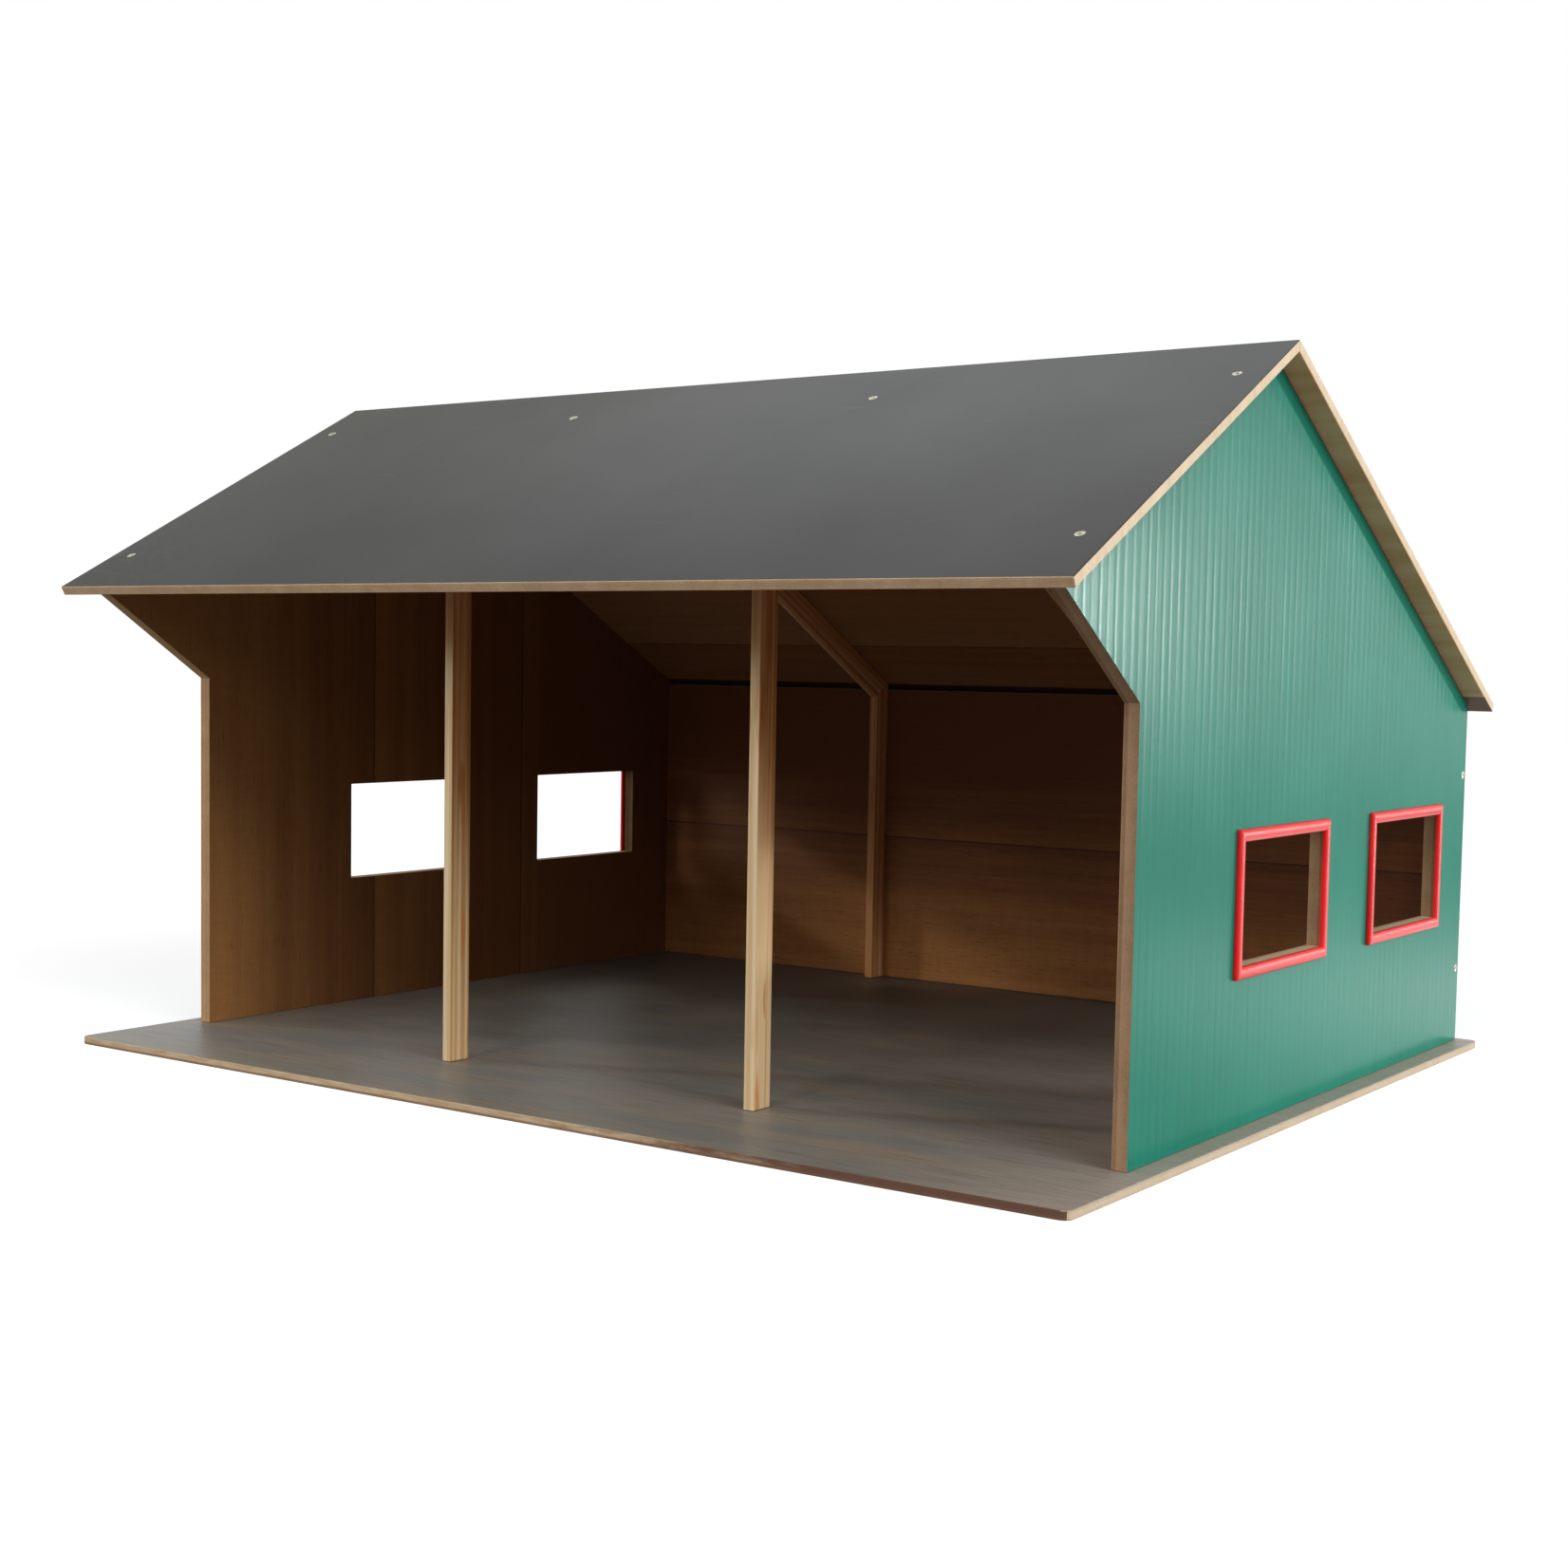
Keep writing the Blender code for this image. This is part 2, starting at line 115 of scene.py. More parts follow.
class Graph:
    """The node tree of a material or the world, with short calls for the nodes that it needs."""

    def __init__(self, owner: Union[bpy.types.Material, bpy.types.World]) -> None:
        """Start an empty tree.

        Args:
            owner: The material or world that the tree belongs to.
        """
        self.owner = owner
        owner.use_nodes = True
        self.tree = owner.node_tree
        self.tree.nodes.clear()

    @cached_property
    def coordinates(self) -> Sequence[Socket]:
        """The surface's places and directions, in the object's own frame."""
        return self.node("ShaderNodeTexCoord", {}).outputs

    def node(self, kind: str, inputs: dict[Union[str, int], Input], **settings: object) -> bpy.types.Node:
        """Add a node.

        Args:
            kind: The node's type name.
            inputs: Values or links by the input's name or index.
            settings: The node's own properties.

        Returns:
            The node.
        """
        node = self.tree.nodes.new(kind)
        for key, value in settings.items():
            setattr(node, key, value)
        for key, value in inputs.items():
            if isinstance(value, Socket):
                self.tree.links.new(value, node.inputs[key])
            else:
                node.inputs[key].default_value = value
        return node

    def math(self, operation: str, first: Input, second: Input = 0.0, third: Input = 0.0) -> Socket:
        """The result of a Math node's operation on up to three numbers."""
        return self.node("ShaderNodeMath", {0: first, 1: second, 2: third}, operation=operation).outputs[0]

    def vector(self, operation: str, first: Input, second: Input, output: str = "Vector") -> Socket:
        """The result of a Vector Math node's operation on two vectors."""
        return self.node("ShaderNodeVectorMath", {0: first, 1: second}, operation=operation).outputs[output]

    def times(self, first: Input, second: Input) -> Socket:
        """The product of two numbers."""
        return self.math("MULTIPLY", first, second)

    def plus(self, first: Input, second: Input) -> Socket:
        """The sum of two numbers."""
        return self.math("ADD", first, second)

    def scaled(self, value: Input, factor: Input, start: Input) -> Socket:
        """A number times a factor, added to a start."""
        return self.math("MULTIPLY_ADD", value, factor, start)

    def split(self, vector: Input) -> Sequence[Socket]:
        """The X, Y and Z of a vector."""
        return self.node("ShaderNodeSeparateXYZ", {0: vector}).outputs

    def moved(self, vector: Input, shift: Sequence[float], turn: Sequence[float] = ORIGIN) -> Socket:
        """A vector, turned by radians about each axis and then shifted."""
        inputs = {"Vector": vector, "Location": shift, "Rotation": turn}
        return self.node("ShaderNodeMapping", inputs).outputs[0]

    def noise(
        self, vector: Input, scale: float, detail: float = 2.0, rough: float = 0.5, warp: float = 0.0
    ) -> Socket:
        """Smooth noise from 0 to 1.

        Args:
            vector: Where to read it.
            scale: Its features to a metre.
            detail: Its octaves.
            rough: The weight of the finer octaves.
            warp: Its distortion.

        Returns:
            The value.
        """
        inputs = {"Vector": vector, "Scale": scale, "Detail": detail, "Roughness": rough}
        return self.node("ShaderNodeTexNoise", inputs | {"Distortion": warp}).outputs[0]

    def streaks(
        self,
        vector: Input,
        along: Axis,
        pace: tuple[float, float],
        detail: float = 2.0,
        rough: float = 0.5,
        warp: float = 0.0,
    ) -> Socket:
        """Smooth noise that runs out into streaks.

        Args:
            vector: Where to read it.
            along: The direction of the streaks.
            pace: Features to a metre along the streaks and across them.
            detail: The noise's octaves.
            rough: The weight of the finer octaves.
            warp: Its distortion.

        Returns:
            A number from 0 to 1.
        """
        scale = [pace[1]] * 3
        scale[along.value] = pace[0]
        return self.noise(self.vector("MULTIPLY", vector, scale), 1.0, detail, rough, warp)

    def random(self, value: Input) -> Socket:
        """A random number from 0 to 1 that belongs to a value."""
        return self.node("ShaderNodeTexWhiteNoise", {"W": value}, noise_dimensions="1D").outputs["Value"]

    def window(self, value: Input, low: float, high: float) -> Socket:
        """Rise smoothly from 0 to 1 while a value goes from low to high, in either direction."""
        inputs = {"Value": value, "From Min": low, "From Max": high}
        return self.node("ShaderNodeMapRange", inputs, interpolation_type="SMOOTHSTEP").outputs[0]

    def span(self, value: Input, low: float, high: float) -> Socket:
        """Map 0 to 1 onto low to high in a straight line."""
        return self.node("ShaderNodeMapRange", {"Value": value, "To Min": low, "To Max": high}).outputs[0]

    def mix(self, share: Input, first: Input, second: Input, blend: str = "MIX") -> Socket:
        """Mix two colours, where share is that of the second one."""
        inputs = {0: share, 6: rgba(first), 7: rgba(second)}
        return self.node("ShaderNodeMix", inputs, data_type="RGBA", blend_type=blend).outputs[2]

    def shaded(self, share: Input, colour: Input, tone: Colour) -> Socket:
        """A colour that is multiplied by a tone where share is 1."""
        return self.mix(share, colour, self.mix(1.0, colour, tone, "MULTIPLY"))

    def blend(self, share: Input, first: Input, second: Input) -> Socket:
        """Mix two numbers, where share is that of the second one."""
        return self.node("ShaderNodeMix", {0: share, 2: first, 3: second}, data_type="FLOAT").outputs[0]

    def visible(self) -> Socket:
        """1 for the rays by which the camera sees a surface, directly, mirrored or through glass."""
        path = self.node("ShaderNodeLightPath", {}).outputs
        indirect = self.math("MAXIMUM", path["Is Glossy Ray"], path["Is Transmission Ray"])
        return self.math("MAXIMUM", path["Is Camera Ray"], indirect)


# Finishes


class Look(NamedTuple):
    """What a finish gives a surface: its colour, its roughness and its relief in metres."""

    colour: Input
    roughness: Input
    height: Input


class Finish:
    """Something that a surface is covered with or made of."""

    def look(self, graph: Graph, place: Input) -> Look:
        """Add the finish's nodes.

        Args:
            graph: The material's tree.
            place: The coordinates to read the pattern at.

        Returns:
            The finish's look.
        """
        raise NotImplementedError


@dataclass(frozen=True)
class GreenPaint(Finish):
    """Satin green paint, through which the raised grain of the wood shows."""

    colour: Colour = (0.010, 0.240, 0.164)
    deep_colour: Colour = (0.008, 0.209, 0.139)
    front_painted_shade: Colour = (0.86, 0.86, 0.86)
    front_shade_reach: tuple[float, float] = (0.25, -0.35)
    along: Axis = Axis.Z
    roughness: float = 0.225
    grain_height: float = 0.000015
    ripple_height: float = 0.00007

    def look(self, graph: Graph, place: Input) -> Look:
        """Paint with clouds, fine streaks and wavering ripples along the grain, with painted shade at the
        front.
        """
        clouds = graph.noise(place, 9.0, 3.0)
        fibres = graph.streaks(place, self.along, (14.0, 420.0), 3.0, 0.6)
        ripples = graph.streaks(place, self.along, (7.0, 210.0), 1.0, 0.5, 0.1)
        tone = graph.scaled(fibres, 0.45, graph.times(clouds, 0.55))
        colour = graph.mix(graph.window(tone, 0.35, 0.65), self.deep_colour, self.colour)
        # Painted shade: the paint is darkened towards the front of the gable.
        front = graph.window(graph.split(place)[1], *self.front_shade_reach)
        colour = graph.shaded(front, colour, self.front_painted_shade)
        roughness = graph.span(clouds, self.roughness - 0.02, self.roughness + 0.03)
        relief = graph.scaled(fibres, self.grain_height, graph.times(ripples, self.ripple_height))
        return Look(colour, roughness, relief)


@dataclass(frozen=True)
class PaintedShade(Finish):
    """A finish with painted shade, whose tone changes along the board."""

    finish: Finish
    shade: Colour
    axis: Axis
    start: float
    end: float

    def look(self, graph: Graph, place: Input) -> Look:
        """The finish, with its colour multiplied by the painted shade as the coordinate goes from start to
        end.
        """
        look = self.finish.look(graph, place)
        share = graph.window(graph.split(place)[self.axis.value], self.start, self.end)
        return look._replace(colour=graph.shaded(share, look.colour, self.shade))


@dataclass(frozen=True)
class Veneer(Finish):
    """Brown veneer in strips, each golden along one edge and deep red-brown along the other."""

    along: Axis
    across: Axis
    joints: tuple[float, ...]
    strip_width: float = 0.166
    golden_edge_first: bool = True
    painted_shade_by_strip: float = 0.0
    golden: Colour = (0.390, 0.182, 0.062)
    deep: Colour = (0.186, 0.076, 0.027)
    pore: Colour = (0.070, 0.028, 0.010)
    glue: Colour = (0.050, 0.018, 0.008)
    roughness: float = 0.46
    line_edges: tuple[float, float] = (0.0009, 0.0003)
    other_draw: float = 17.0
    relief: float = 0.00004

    def look(self, graph: Graph, place: Input) -> Look:
        """Strips with their glue lines, grain bands, silky flecks across the grain, and dark pores."""
        wander = graph.streaks(place, self.along, (3.0, 9.0))
        across = graph.split(place)[self.across.value]
        last = self.joints[0] - self.strip_width
        start, strip, line = last, 0.0, 0.0
        for joint in self.joints:
            past = graph.math("GREATER_THAN", across, joint)
            start = graph.scaled(past, joint - last, start)
            strip = graph.plus(strip, past)
            near = graph.math("ABSOLUTE", graph.math("SUBTRACT", across, joint))
            line = graph.math("MAXIMUM", line, graph.window(near, *self.line_edges))
            last = joint
        share = graph.math("DIVIDE", graph.math("SUBTRACT", across, start), self.strip_width)
        if not self.golden_edge_first:
            share = graph.math("SUBTRACT", 1.0, share)
        # Painted shade: each strip further along is darker than the one before.
        share = graph.scaled(strip, self.painted_shade_by_strip, share)
        share = graph.plus(share, graph.scaled(wander, 0.9, -0.45))
        chance = {0: graph.random(strip), 1: graph.random(graph.plus(strip, self.other_draw))}
        moved = graph.vector("ADD", place, graph.node("ShaderNodeCombineXYZ", chance).outputs[0])
        bands = graph.streaks(moved, self.along, (1.5, 60.0), 4.0, 0.6, 0.25)
        streaks = graph.streaks(moved, self.along, (16.0, 700.0), 3.0, 0.65)
        flecks = graph.streaks(moved, self.along, (420.0, 60.0), 2.0, 0.6)
        pores = graph.window(graph.streaks(moved, self.along, (60.0, 1900.0), 1.0), 0.63, 0.76)
        share = graph.scaled(bands, 0.9, graph.scaled(share, 0.75, -0.34))
        share = graph.scaled(streaks, 0.40, graph.plus(share, -0.20))
        colour = graph.mix(graph.window(share, -0.10, 1.05), self.golden, self.deep)
        colour = graph.mix(graph.span(flecks, 0.0, 0.34), colour, self.deep)
        colour = graph.mix(graph.times(pores, 0.65), colour, self.pore)
        colour = graph.mix(graph.times(line, 0.70), colour, self.glue)
        height = graph.scaled(streaks, self.relief, graph.times(pores, -self.relief))
        return Look(colour, graph.span(streaks, self.roughness, self.roughness + 0.12), height)


@dataclass(frozen=True)
class PaintedLightEnds(Finish):
    """Veneer with painted light on the ends that stand out past the gables."""

    veneer: Veneer
    colour: Colour = (1.000, 0.540, 0.310)
    streak: Colour = (0.860, 0.400, 0.200)
    reach: float = 0.360

    def look(self, graph: Graph, place: Input) -> Look:
        """The veneer's own look, with paler, streaked ends as painted light."""
        look = self.veneer.look(graph, place)
        past = graph.math("GREATER_THAN", graph.math("ABSOLUTE", graph.split(place)[0]), self.reach)
        streaks = graph.streaks(place, Axis.X, (6.0, 62.0), 3.0, 0.55)
        # Painted light: the bright, streaked colour stands in for light on the panel's ends outside the
        # gables.
        pale = graph.mix(graph.window(streaks, 0.34, 0.68), self.colour, self.streak)
        return look._replace(colour=graph.mix(past, look.colour, pale))


@dataclass(frozen=True)
class RoofPaint(Finish):
    """Dark grey satin paint, faintly olive and darker at the left end and bluish and lighter at the right,
    the darkness painted shade and the lightness painted sheen.
    """

    left: Colour = (0.024, 0.025, 0.017)
    right: Colour = (0.047, 0.051, 0.050)
    cloud: Colour = (0.030, 0.030, 0.027)
    rub: Colour = (0.16, 0.16, 0.15)
    mark: Colour = (0.11, 0.11, 0.09)
    half_length: float = 0.3755
    corner_x: tuple[float, float] = (-0.22, -0.35)
    corner_y: tuple[float, float] = (-0.20, -0.30)
    roughness: float = 0.42
    relief: float = 0.00003

    def look(self, graph: Graph, place: Input) -> Look:
        """Paint with clouds, a fine grain, faint rubs, and marks in the front left corner."""
        x, y, _ = graph.split(place)
        # Painted shade at the left end and painted sheen at the right, blended along X.
        colour = graph.mix(graph.window(x, -self.half_length, 0.4 * self.half_length), self.left, self.right)
        clouds = graph.noise(place, 7.0, 4.0, 0.55)
        speckle = graph.noise(place, 900.0)
        rubs = graph.streaks(place, Axis.X, (24.0, 120.0), 3.0, 0.6)
        corner = graph.times(graph.window(x, *self.corner_x), graph.window(y, *self.corner_y))
        marks = graph.window(graph.noise(place, 95.0, 2.0, 0.6, 0.8), 0.52, 0.66)
        colour = graph.mix(graph.span(clouds, 0.0, 0.32), colour, self.cloud)
        colour = graph.mix(graph.times(graph.window(rubs, 0.66, 0.80), 0.25), colour, self.rub)
        colour = graph.mix(graph.times(graph.times(corner, marks), 0.22), colour, self.mark)
        roughness = graph.span(clouds, self.roughness - 0.05, self.roughness + 0.07)
        roughness = graph.plus(roughness, graph.span(speckle, -0.03, 0.03))
        return Look(colour, roughness, graph.times(speckle, self.relief))


@dataclass(frozen=True)
class StainedTop(Finish):
    """The base board's grey stain, warm in blotches drawn out along X."""

    colour: Colour = (0.285, 0.258, 0.212)
    cool: Colour = (0.228, 0.228, 0.208)
    warm: Colour = (0.345, 0.262, 0.178)
    painted_sheen: Colour = (0.470, 0.395, 0.330)
    rear_shade: Colour = (0.48, 0.46, 0.45)
    middle_shade: Colour = (0.70, 0.68, 0.66)
    dark: Colour = (0.13, 0.105, 0.085)
    painted_sheen_x: tuple[float, float] = (0.22, 0.40)
    rear_x: tuple[float, float] = (0.25, 0.08)
    rear_y: tuple[float, float] = (-0.06, 0.20)
    middle_x: float = -0.035
    middle_width: tuple[float, float] = (0.11, 0.03)
    middle_y: tuple[float, float] = (0.03, 0.12)
    roughness: float = 0.40
    relief: float = 0.00005

    def look(self, graph: Graph, place: Input) -> Look:
        """Stain with long blotches and fine streaks, with painted sheen at the right and painted shade at the
        rear and in the middle.
        """
        x, y, _ = graph.split(place)
        blotches = graph.streaks(place, Axis.X, (7.0, 34.0), 5.0, 0.65)
        patches = graph.streaks(graph.moved(place, (3.1, 1.7, 0.0)), Axis.X, (9.0, 40.0), 4.0, 0.65)
        streaks = graph.streaks(place, Axis.X, (22.0, 420.0), 4.0, 0.65)
        colour = graph.mix(graph.window(blotches, 0.36, 0.64), self.cool, self.colour)
        colour = graph.mix(graph.times(graph.window(patches, 0.46, 0.70), 0.60), colour, self.warm)
        # Painted sheen: the right end of the board is paler.
        colour = graph.mix(graph.times(graph.window(x, *self.painted_sheen_x), 0.75), colour, self.painted_sheen)
        colour = graph.mix(graph.times(graph.window(streaks, 0.40, 0.80), 0.65), colour, self.dark)
        rear = graph.times(graph.window(y, *self.rear_y), graph.window(x, *self.rear_x))
        colour = graph.shaded(rear, colour, self.rear_shade)
        aside = graph.math("ABSOLUTE", graph.plus(x, -self.middle_x))
        middle = graph.times(graph.window(aside, *self.middle_width), graph.window(y, *self.middle_y))
        colour = graph.shaded(middle, colour, self.middle_shade)
        roughness = graph.span(blotches, self.roughness - 0.06, self.roughness + 0.10)
        return Look(colour, roughness, graph.times(streaks, self.relief))


@dataclass(frozen=True)
class SawnEdge(Finish):
    """The raw edge of a board, with its layers and the marks of the saw."""

    colour: Colour
    dark: Colour
    across: Axis
    layer: float = 0.0018
    layer_contrast: float = 0.45
    roughness: float = 0.72

    def look(self, graph: Graph, place: Input) -> Look:
        """Layers of light and dark wood with blotches and saw marks."""
        depth = graph.math("DIVIDE", graph.split(place)[self.across.value], self.layer)
        tone = graph.random(graph.math("FLOOR", depth))
        blotches = graph.noise(place, 60.0, 4.0, 0.65)
        fibres = graph.noise(place, 900.0, 2.0, 0.6)
        share = graph.scaled(tone, self.layer_contrast, graph.times(blotches, 0.75))
        share = graph.plus(share, graph.scaled(fibres, 0.5, -0.35))
        colour = graph.mix(graph.window(share, 0.15, 0.95), self.colour, self.dark)
        return Look(colour, self.roughness, graph.times(fibres, SAW_MARKS))


@dataclass(frozen=True)
class FrontEdge(Finish):
    """The base board's front edge: yellow raw wood at the left, dark in dashes towards the right."""

    left: Colour = (0.600, 0.450, 0.290)
    dash: Colour = (0.46, 0.31, 0.17)
    right: Colour = (0.130, 0.062, 0.038)
    layer: Colour = (0.170, 0.085, 0.045)
    shift: float = -0.15
    dark_x: tuple[float, float] = (-0.02, 0.20)
    thickness: float = 0.005
    roughness: float = 0.7

    def look(self, graph: Graph, place: Input) -> Look:
        """Raw wood that turns dark along the edge, over a thin dark layer."""
        x, _, z = graph.split(place)
        dashes = graph.streaks(place, Axis.X, (55.0, 320.0), 3.0, 0.6)
        fibres = graph.noise(place, 900.0, 2.0, 0.6)
        reach = graph.scaled(dashes, 0.22, graph.plus(x, self.shift))
        colour = graph.mix(graph.window(dashes, 0.30, 0.72), self.left, self.dash)
        colour = graph.mix(graph.window(reach, *self.dark_x), colour, self.right)
        low = graph.window(z, 0.42 * self.thickness, 0.22 * self.thickness)
        colour = graph.mix(graph.times(low, 0.75), colour, self.layer)
        return Look(colour, self.roughness, graph.times(fibres, SAW_MARKS))


@dataclass(frozen=True)
class PlanedWood(Finish):
    """Bare planed softwood: yearly rings drawn out into streaks, with a few orange flames."""

    along: Axis = Axis.Z
    colour: Colour = (0.780, 0.630, 0.410)
    late: Colour = (0.640, 0.450, 0.240)
    flame: Colour = (0.480, 0.250, 0.080)
    shift: tuple[float, float, float] = ORIGIN
    turn: float = 0.0
    roughness: float = 0.58
    fibre_height: float = 0.00004
    ring_height: float = 0.00005

    def look(self, graph: Graph, place: Input) -> Look:
        """Rings, fibres and flames along the strip."""
        local = graph.moved(graph.moved(place, ORIGIN, (self.turn, 0.0, 0.0)), self.shift)
        rings = graph.streaks(local, self.along, (2.4, 230.0), 3.0, 0.5, 0.25)
        fibres = graph.streaks(local, self.along, (24.0, 1500.0), 2.0, 0.6)
        flames = graph.streaks(local, self.along, (11.0, 120.0), 2.0, 0.5, 0.6)
        colour = graph.mix(graph.window(rings, 0.42, 0.60), self.colour, self.late)
        colour = graph.mix(graph.times(graph.window(flames, 0.56, 0.68), 0.7), colour, self.flame)
        colour = graph.mix(graph.span(fibres, 0.0, 0.30), colour, self.late)
        height = graph.scaled(fibres, self.fibre_height, graph.times(rings, self.ring_height))
        return Look(colour, graph.span(fibres, self.roughness - 0.05, self.roughness + 0.10), height)


@dataclass(frozen=True)
class RedMoulding(Finish):
    """Satin red plastic with a faint flow pattern."""

    colour: Colour = (0.830, 0.016, 0.015)
    deep: Colour = (0.740, 0.011, 0.011)
    roughness: float = 0.34
    relief: float = 0.00003

    def look(self, graph: Graph, place: Input) -> Look:
        """Plastic with clouds and a very fine orange peel."""
        clouds = graph.noise(place, 45.0, 3.0)
        peel = graph.noise(place, 1100.0, 1.0)
        colour = graph.mix(graph.window(clouds, 0.30, 0.70), self.deep, self.colour)
        roughness = graph.span(clouds, self.roughness - 0.05, self.roughness + 0.07)
        return Look(colour, roughness, graph.times(peel, self.relief))


@dataclass(frozen=True)
class ZincPlate(Finish):
    """Dull zinc plate with cloudy tarnish."""

    colour: Colour = (0.660, 0.640, 0.560)
    tarnish: Colour = (0.420, 0.390, 0.320)
    roughness: float = 0.42
    relief: float = 0.00002

    def look(self, graph: Graph, place: Input) -> Look:
        """Plate with clouds of tarnish and fine scratches."""
        clouds = graph.noise(place, 700.0, 3.0, 0.6)
        scratches = graph.streaks(place, Axis.X, (300.0, 4200.0), 1.0)
        colour = graph.mix(graph.window(clouds, 0.35, 0.75), self.colour, self.tarnish)
        roughness = graph.span(clouds, self.roughness - 0.06, self.roughness + 0.14)
        return Look(colour, roughness, graph.times(scratches, self.relief))


# Materials from finishes


class Facing(NamedTuple):
    """A flat face of a board: the way it looks and what covers it."""

    direction: tuple[float, float, float]
    finish: Finish


@dataclass(frozen=True)
class Covering:
    """A whole piece's material: an all-over finish, and others on the faces that look a given way."""

    name: str
    all_over: Finish
    faces: tuple[Facing, ...] = ()
    specular: float = 0.35
    metallic: float = 0.0
    ior: float = 1.5

    def material(self) -> bpy.types.Material:
        """Build the material.

        Returns:
            One Principled surface whose colour, roughness and relief follow the finishes.
        """
        graph = Graph(bpy.data.materials.new(self.name))
        place, normal = graph.coordinates["Object"], graph.coordinates["Normal"]
        look = self.all_over.look(graph, place)
        for facing in self.faces:
            cosine = graph.vector("DOT_PRODUCT", normal, facing.direction, "Value")
            share = graph.math("GREATER_THAN", cosine, FLAT_FACE)
            face = facing.finish.look(graph, place)
            look = Look(
                graph.mix(share, look.colour, face.colour),
                graph.blend(share, look.roughness, face.roughness),
                graph.blend(share, look.height, face.height),
            )
        bump = graph.node("ShaderNodeBump", {"Height": look.height, "Distance": 1.0, "Strength": 1.0})
        inputs = {"Base Color": rgba(look.colour), "Roughness": look.roughness, "Normal": bump.outputs[0]}
        inputs |= {"Metallic": self.metallic, "Specular IOR Level": self.specular, "IOR": self.ior}
        surface = graph.node("ShaderNodeBsdfPrincipled", inputs)
        graph.node("ShaderNodeOutputMaterial", {"Surface": surface.outputs[0]})
        return graph.owner


@dataclass(frozen=True)
class BoardCoverings:
    """A built board's finishes: paint outside, veneer inside, and the wood of its rim and round its holes."""

    name: str
    paint: Finish
    veneer: Finish
    rim: Finish
    reveal: Finish
    sills: tuple[Facing, ...] = ()

    def dress(self, board: Piece, out: Sequence[float], in_hole: Callable[[Vector], bool]) -> None:
        """Give each of the board's faces its own material.

        Args:
            board: The board.
            out: The way that its outer face looks.
            in_hole: Whether a place on an edge is on the side of a hole.
        """
        board.data.materials.clear()
        for covering in (
            Covering(f"{self.name}_paint", self.paint, specular=0.5, ior=PAINT_IOR),
            Covering(f"{self.name}_veneer", self.veneer, specular=WOOD_GLOSS),
            Covering(f"{self.name}_rim", self.rim, specular=WOOD_GLOSS),
            Covering(f"{self.name}_reveal", self.reveal, self.sills, specular=WOOD_GLOSS),
        ):
            board.data.materials.append(covering.material())
        direction = Vector(out)
        for face in board.data.polygons:
            cosine = face.normal.dot(direction)
            edge = 3 if in_hole(face.center) else 2
            face.material_index = 0 if cosine > FLAT_FACE else 1 if cosine < -FLAT_FACE else edge


def dress(node: str, material: bpy.types.Material) -> None:
    """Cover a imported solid, given by its name, with a material."""
    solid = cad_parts[node]
    solid.data.materials.clear()
    solid.data.materials.append(material)
    LOG.info("%s: %s", node, material.name)


# Tones that the pieces share, painted shade and painted light among them, and the edges round the window
# holes


GOLDEN_EDGE = (0.540, 0.352, 0.180)
GOLDEN_EDGE_DARK = (0.375, 0.215, 0.098)
BROWN_EDGE = (0.365, 0.228, 0.132)
BROWN_EDGE_DARK = (0.228, 0.130, 0.070)
PALE_EDGE = (0.640, 0.510, 0.360)
PALE_EDGE_DARK = (0.470, 0.335, 0.205)
EAVE_EDGE = (0.630, 0.465, 0.295)
EAVE_EDGE_DARK = (0.430, 0.275, 0.155)
PAINTED_LIGHT_VERGE = (0.800, 0.645, 0.455)
PAINTED_LIGHT_VERGE_DARK = (0.620, 0.460, 0.290)
EAVE_PAINTED_SHADE = (0.45, 0.45, 0.42)
SEAT_PAINTED_SHADOW = (0.20, 0.20, 0.22)
POST_TOP_PAINTED_SHADOW = (0.72, 0.50, 0.34)
POST_SIDE_PAINTED_SHADE = (0.90, 0.60, 0.40)
SHADED_SIDE_PALE = (0.820, 0.610, 0.350)
SHADED_SIDE_LATE = (0.560, 0.320, 0.130)
INNER_SHADED_PALE = (0.850, 0.500, 0.255)
INNER_SHADED_LATE = (0.600, 0.285, 0.105)
STRIP_FLAME = (0.600, 0.210, 0.045)
PALE_REVEAL = SawnEdge((0.450, 0.290, 0.160), (0.250, 0.150, 0.075), Axis.X, layer=0.0022, layer_contrast=0.6)
DARK_REVEAL = SawnEdge((0.270, 0.170, 0.075), (0.150, 0.088, 0.038), Axis.X, layer=0.0022, layer_contrast=0.6)
SILL = SawnEdge((0.640, 0.500, 0.330), (0.450, 0.320, 0.190), Axis.X)


# Grooved boards


@dataclass(frozen=True)
class Grooves:
    """Shallow rounded grooves, milled side by side into one face of a board."""

    first: float
    pitch: float = 0.00895
    width: float = 0.0050
    depth: float = 0.00004
    segments: int = 8

    def inset(self, across: float) -> float:
        """How deep the face lies at a distance across the grooves."""
        offset = (across - self.first + self.pitch / 2) % self.pitch - self.pitch / 2
        share = abs(offset) / (self.width / 2)
        return self.depth * (1 + math.cos(math.pi * share)) / 2 if share < 1 else 0.0

    def stations(self, low: float, high: float) -> list[float]:
        """Where the face needs points to follow the grooves.

        Args:
            low: The face's lowest coordinate.
            high: Its highest coordinate.

        Returns:
            The coordinates, in order.
        """
        found = []
        lowest, highest = ((end - self.first) / self.pitch for end in (low, high))
        for index in range(math.floor(lowest), math.ceil(highest) + 1):
            middle = self.first + index * self.pitch
            for step in range(self.segments + 1):
                across = middle + self.width * (step / self.segments - 0.5)
                if low < across < high:
                    found.append(across)
        return found


class Station(NamedTuple):
    """A line across a grooved board: where it lies, and the points along it."""

    across: float
    along: tuple[float, ...]


